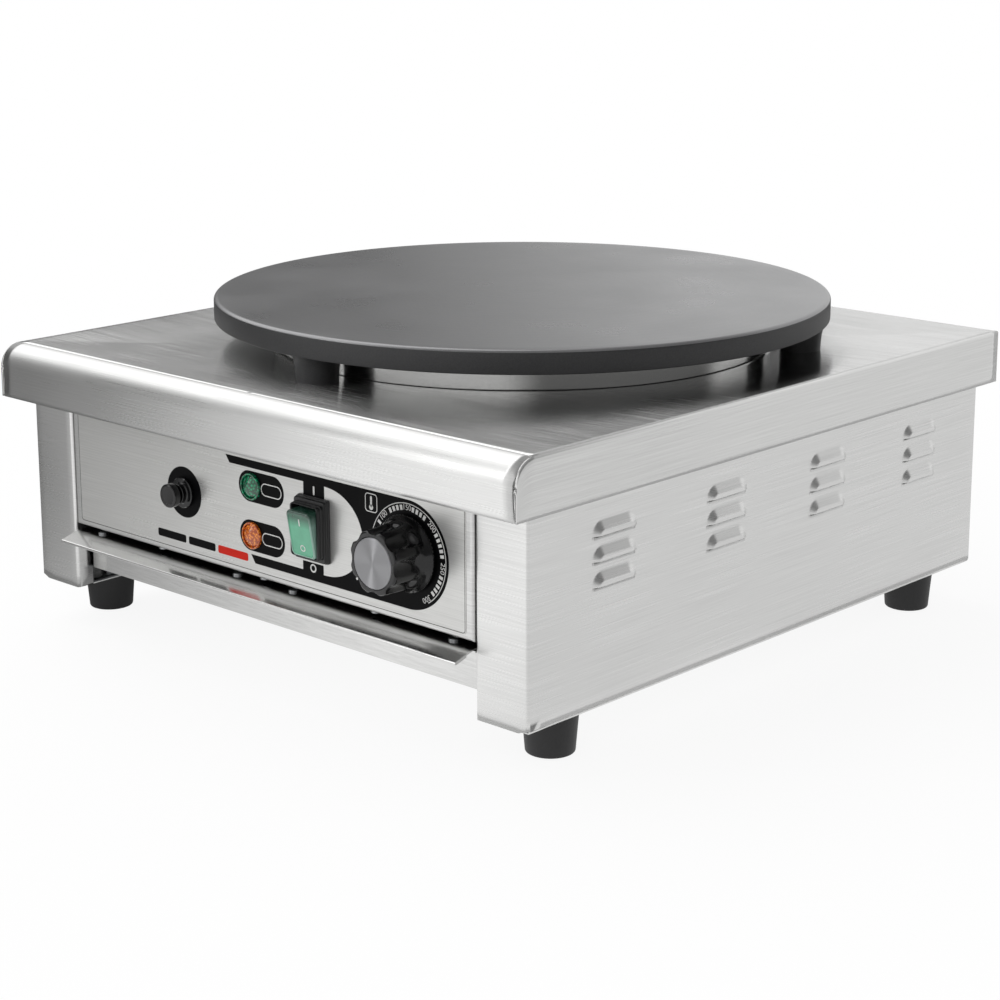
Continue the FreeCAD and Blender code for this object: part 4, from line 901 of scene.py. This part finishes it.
HEAD_RADIUS, HEAD_HEIGHT, CROSS_DEPTH = 3.8, 2.0, 0.9
TRAY_SCREW_X, TRAY_SCREW_Y, TRAY_SCREW_Z = (-156.5, -25, 25, 156.5), -215.2, 64.3
REAR_SCREW_X, REAR_SCREW_Z = 190.5, (48, 98, 148)


def screw_head():
    """A low pan head whose top dips by 0.9 mm in a cross about 1 mm wide."""
    radius = np.array([0, 0.35, 0.55, 0.8, 1.1, 1.5, 1.9, 2.2, 2.5, 2.9, 3.3, 3.6,
                       HEAD_RADIUS, HEAD_RADIUS])
    height = HEAD_HEIGHT - 0.9 * (radius / HEAD_RADIUS) ** 3
    height[-1] = 0
    rings = lathe(np.stack([radius, height], 1), 48)
    near = np.minimum(np.abs(rings[..., 0]), np.abs(rings[..., 1]))
    far = np.maximum(np.abs(rings[..., 0]), np.abs(rings[..., 1]))
    cross = (1 - smooth((near - 0.3) / 0.3)) * (1 - smooth((far - 1.9) / 0.3))
    rings[..., 2] -= CROSS_DEPTH * cross
    return rings


def screws():
    """Cross-headed screws on the tray's flange and on the rear flanges."""
    tray = [skin(moved(screw_head(), x, TRAY_SCREW_Y, TRAY_SCREW_Z), caps=False, flip=True)
            for x in TRAY_SCREW_X]
    piece("tray_screw_heads", tray, [zinc], "tray", ["tray_screws"])
    rear = [skin(on_rear(screw_head(), sign * REAR_SCREW_X, z, REAR), caps=False, flip=True)
            for sign in (-1, 1) for z in REAR_SCREW_Z]
    piece("rear_screw_heads", rear, [zinc], "housing", ["rear_screws"])


# Camera, light and floor, in metres

CAMERA_PLACE, CAMERA_TURN = (1.009703, -1.087048, 0.479341), (0.749, -0.224, -0.002)
CAMERA_LENS, CAMERA_SENSOR, CAMERA_SHIFT = 83.79, 36.0, -0.1
SOFT_BOX_WAY = (-0.704, 0.101, 0.704)
STRIP_SIDE = (0.745, -0.667, 0)
FLOOR_RADIUS, FLOOR_LEVEL = 9, -0.0004


def camera():
    """The photograph's view: place, heading, tilt and roll fitted to the picture."""
    lens = bpy.data.cameras.new("camera")
    lens.lens, lens.sensor_width, lens.shift_y = CAMERA_LENS, CAMERA_SENSOR, CAMERA_SHIFT
    lens.clip_start, lens.clip_end = 0.05, 60
    yaw, pitch, roll = CAMERA_TURN
    ahead = Vector((-math.sin(yaw) * math.cos(pitch), math.cos(yaw) * math.cos(pitch),
                    math.sin(pitch)))
    right = Vector((math.cos(yaw), math.sin(yaw), 0))
    up = right.cross(ahead)
    across = right * math.cos(roll) + up * math.sin(roll)
    upward = up * math.cos(roll) - right * math.sin(roll)
    item = bpy.data.objects.new("camera", lens)
    turn = Matrix((across, upward, -ahead)).transposed().to_4x4()
    item.matrix_world = Matrix.Translation(CAMERA_PLACE) @ turn
    bpy.context.scene.collection.objects.link(item)
    bpy.context.scene.camera = item


def lamp(name, place, target, size, power):
    """A soft lamp at a place, facing a target; its shine on metal comes from the
    world instead, where the soft boxes have soft edges."""
    light = bpy.data.lights.new(name, "AREA")
    light.shape, light.size, light.size_y, light.energy = "RECTANGLE", size[0], size[1], power
    item = bpy.data.objects.new(name, light)
    aim = (Vector(target) - Vector(place)).to_track_quat("-Z", "Y")
    item.matrix_world = Matrix.Translation(place) @ aim.to_matrix().to_4x4()
    item.visible_glossy = False
    bpy.context.scene.collection.objects.link(item)


def studio():
    """A dim room with a white backdrop behind the object, a white reflector in
    front of it, one large soft box high on the left and an upright strip light at
    the front left, all with soft edges. The camera sees plain white."""
    world = bpy.data.worlds.new("studio")
    bpy.context.scene.world = world
    world.use_nodes = True
    tree = world.node_tree
    way = node(tree, "TexCoord").outputs["Generated"]
    across, along, height = node(tree, "SeparateXYZ", {0: way}).outputs
    box = node(tree, "VectorMath", {0: way, 1: SOFT_BOX_WAY},
               operation="DOT_PRODUCT").outputs["Value"]
    room = combine(tree, "ADD", ramp(tree, along, 0.20, 1.05, 0.68, 0.78),
                   ramp(tree, along, 0.80, 0, -0.80, -0.62))
    room = combine(tree, "MULTIPLY", room, ramp(tree, across, 0.55, 1.0, -0.88, -0.70))
    room = combine(tree, "ADD", room, ramp(tree, height, 0, 0.20, 0.30, 0.90))
    beside = node(tree, "VectorMath", {0: way, 1: STRIP_SIDE},
                  operation="DOT_PRODUCT").outputs["Value"]
    narrow = ramp(tree, combine(tree, "MULTIPLY", beside, beside), 3.0, 0, 0.0, 0.010)
    strip = combine(tree, "MULTIPLY", narrow, ramp(tree, along, 1, 0, -0.50, -0.30),
                    ramp(tree, height, 0, 1, 0.0, 0.1))
    soft_box = ramp(tree, box, 0, 1.7, 0.79, 0.95, "SMOOTHSTEP")
    tone = combine(tree, "ADD", room, soft_box, strip)
    seen = node(tree, "LightPath").outputs["Is Camera Ray"]
    tone = ramp(tree, seen, tone, 1.0, 0, 1)
    colour = node(tree, "CombineColor", {0: tone, 1: tone, 2: tone})
    tree.links.new(colour.outputs[0], tree.nodes["Background"].inputs["Color"])


def floor():
    """A white floor that keeps the object's shadow and fades to plain white further
    out; reflections see it dark at the front left and bright to the right."""
    angle = np.arange(96) * TURN / 96
    outline = at_level(np.stack([np.cos(angle), np.sin(angle)], 1) * FLOOR_RADIUS, FLOOR_LEVEL)
    mesh = bpy.data.meshes.new("floor")
    mesh.from_pydata(outline.tolist(), [], [list(range(len(outline)))])
    item = bpy.data.objects.new("floor", mesh)
    bpy.context.scene.collection.objects.link(item)
    material, tree, shader = finish("white floor", Base_Color=linear("#f4f4f4"), Roughness=0.8,
                                    Specular_IOR_Level=0.1)
    place = node(tree, "TexCoord").outputs["Object"]
    away = node(tree, "VectorMath", {0: place}, operation="LENGTH").outputs["Value"]
    across, along, _ = node(tree, "SeparateXYZ", {0: place}).outputs
    path = node(tree, "LightPath").outputs
    slant = combine(tree, "SUBTRACT", across, along)
    front_left = combine(tree, "MINIMUM", ramp(tree, slant, 0.20, 1.25, -0.08, 0.28),
                         ramp(tree, across, 1.30, 0.92, 0.0, 0.3))
    mirrored = combine(tree, "MAXIMUM", front_left, ramp(tree, across, 0.20, 0.92, -0.10, 0.15))
    tone = ramp(tree, path["Is Camera Ray"], mirrored, 1.0, 0, 1)
    plain = node(tree, "Emission", {"Color": (1, 1, 1, 1), "Strength": tone})
    seen = combine(tree, "MAXIMUM", path["Is Camera Ray"], path["Is Glossy Ray"])
    fade = combine(tree, "MULTIPLY", ramp(tree, away, 0.90, 1.0, 0.25, 0.8), seen)
    mixed = node(tree, "MixShader", {0: fade, 1: shader.outputs[0], 2: plain.outputs[0]})
    tree.links.new(mixed.outputs[0], tree.nodes["Material Output"].inputs["Surface"])
    mesh.materials.append(material)


bpy.context.scene.view_settings.view_transform = "Standard"
camera()
studio()
floor()
lamp("key", (-1.25, -0.05, 1.35), (0, 0, 0.15), (1.5, 1.0), 8)
lamp("fill", (1.4, -1.9, 1.9), (0, 0, 0.1), (1.4, 1.0), 9)
dress_nodes()
cover()
side_panel("side_panel_right", 1)
side_panel("side_panel_left", -1)
griddle()
pan()
feet()
knob()
switch()
lamps()
reset()
film()
screws()
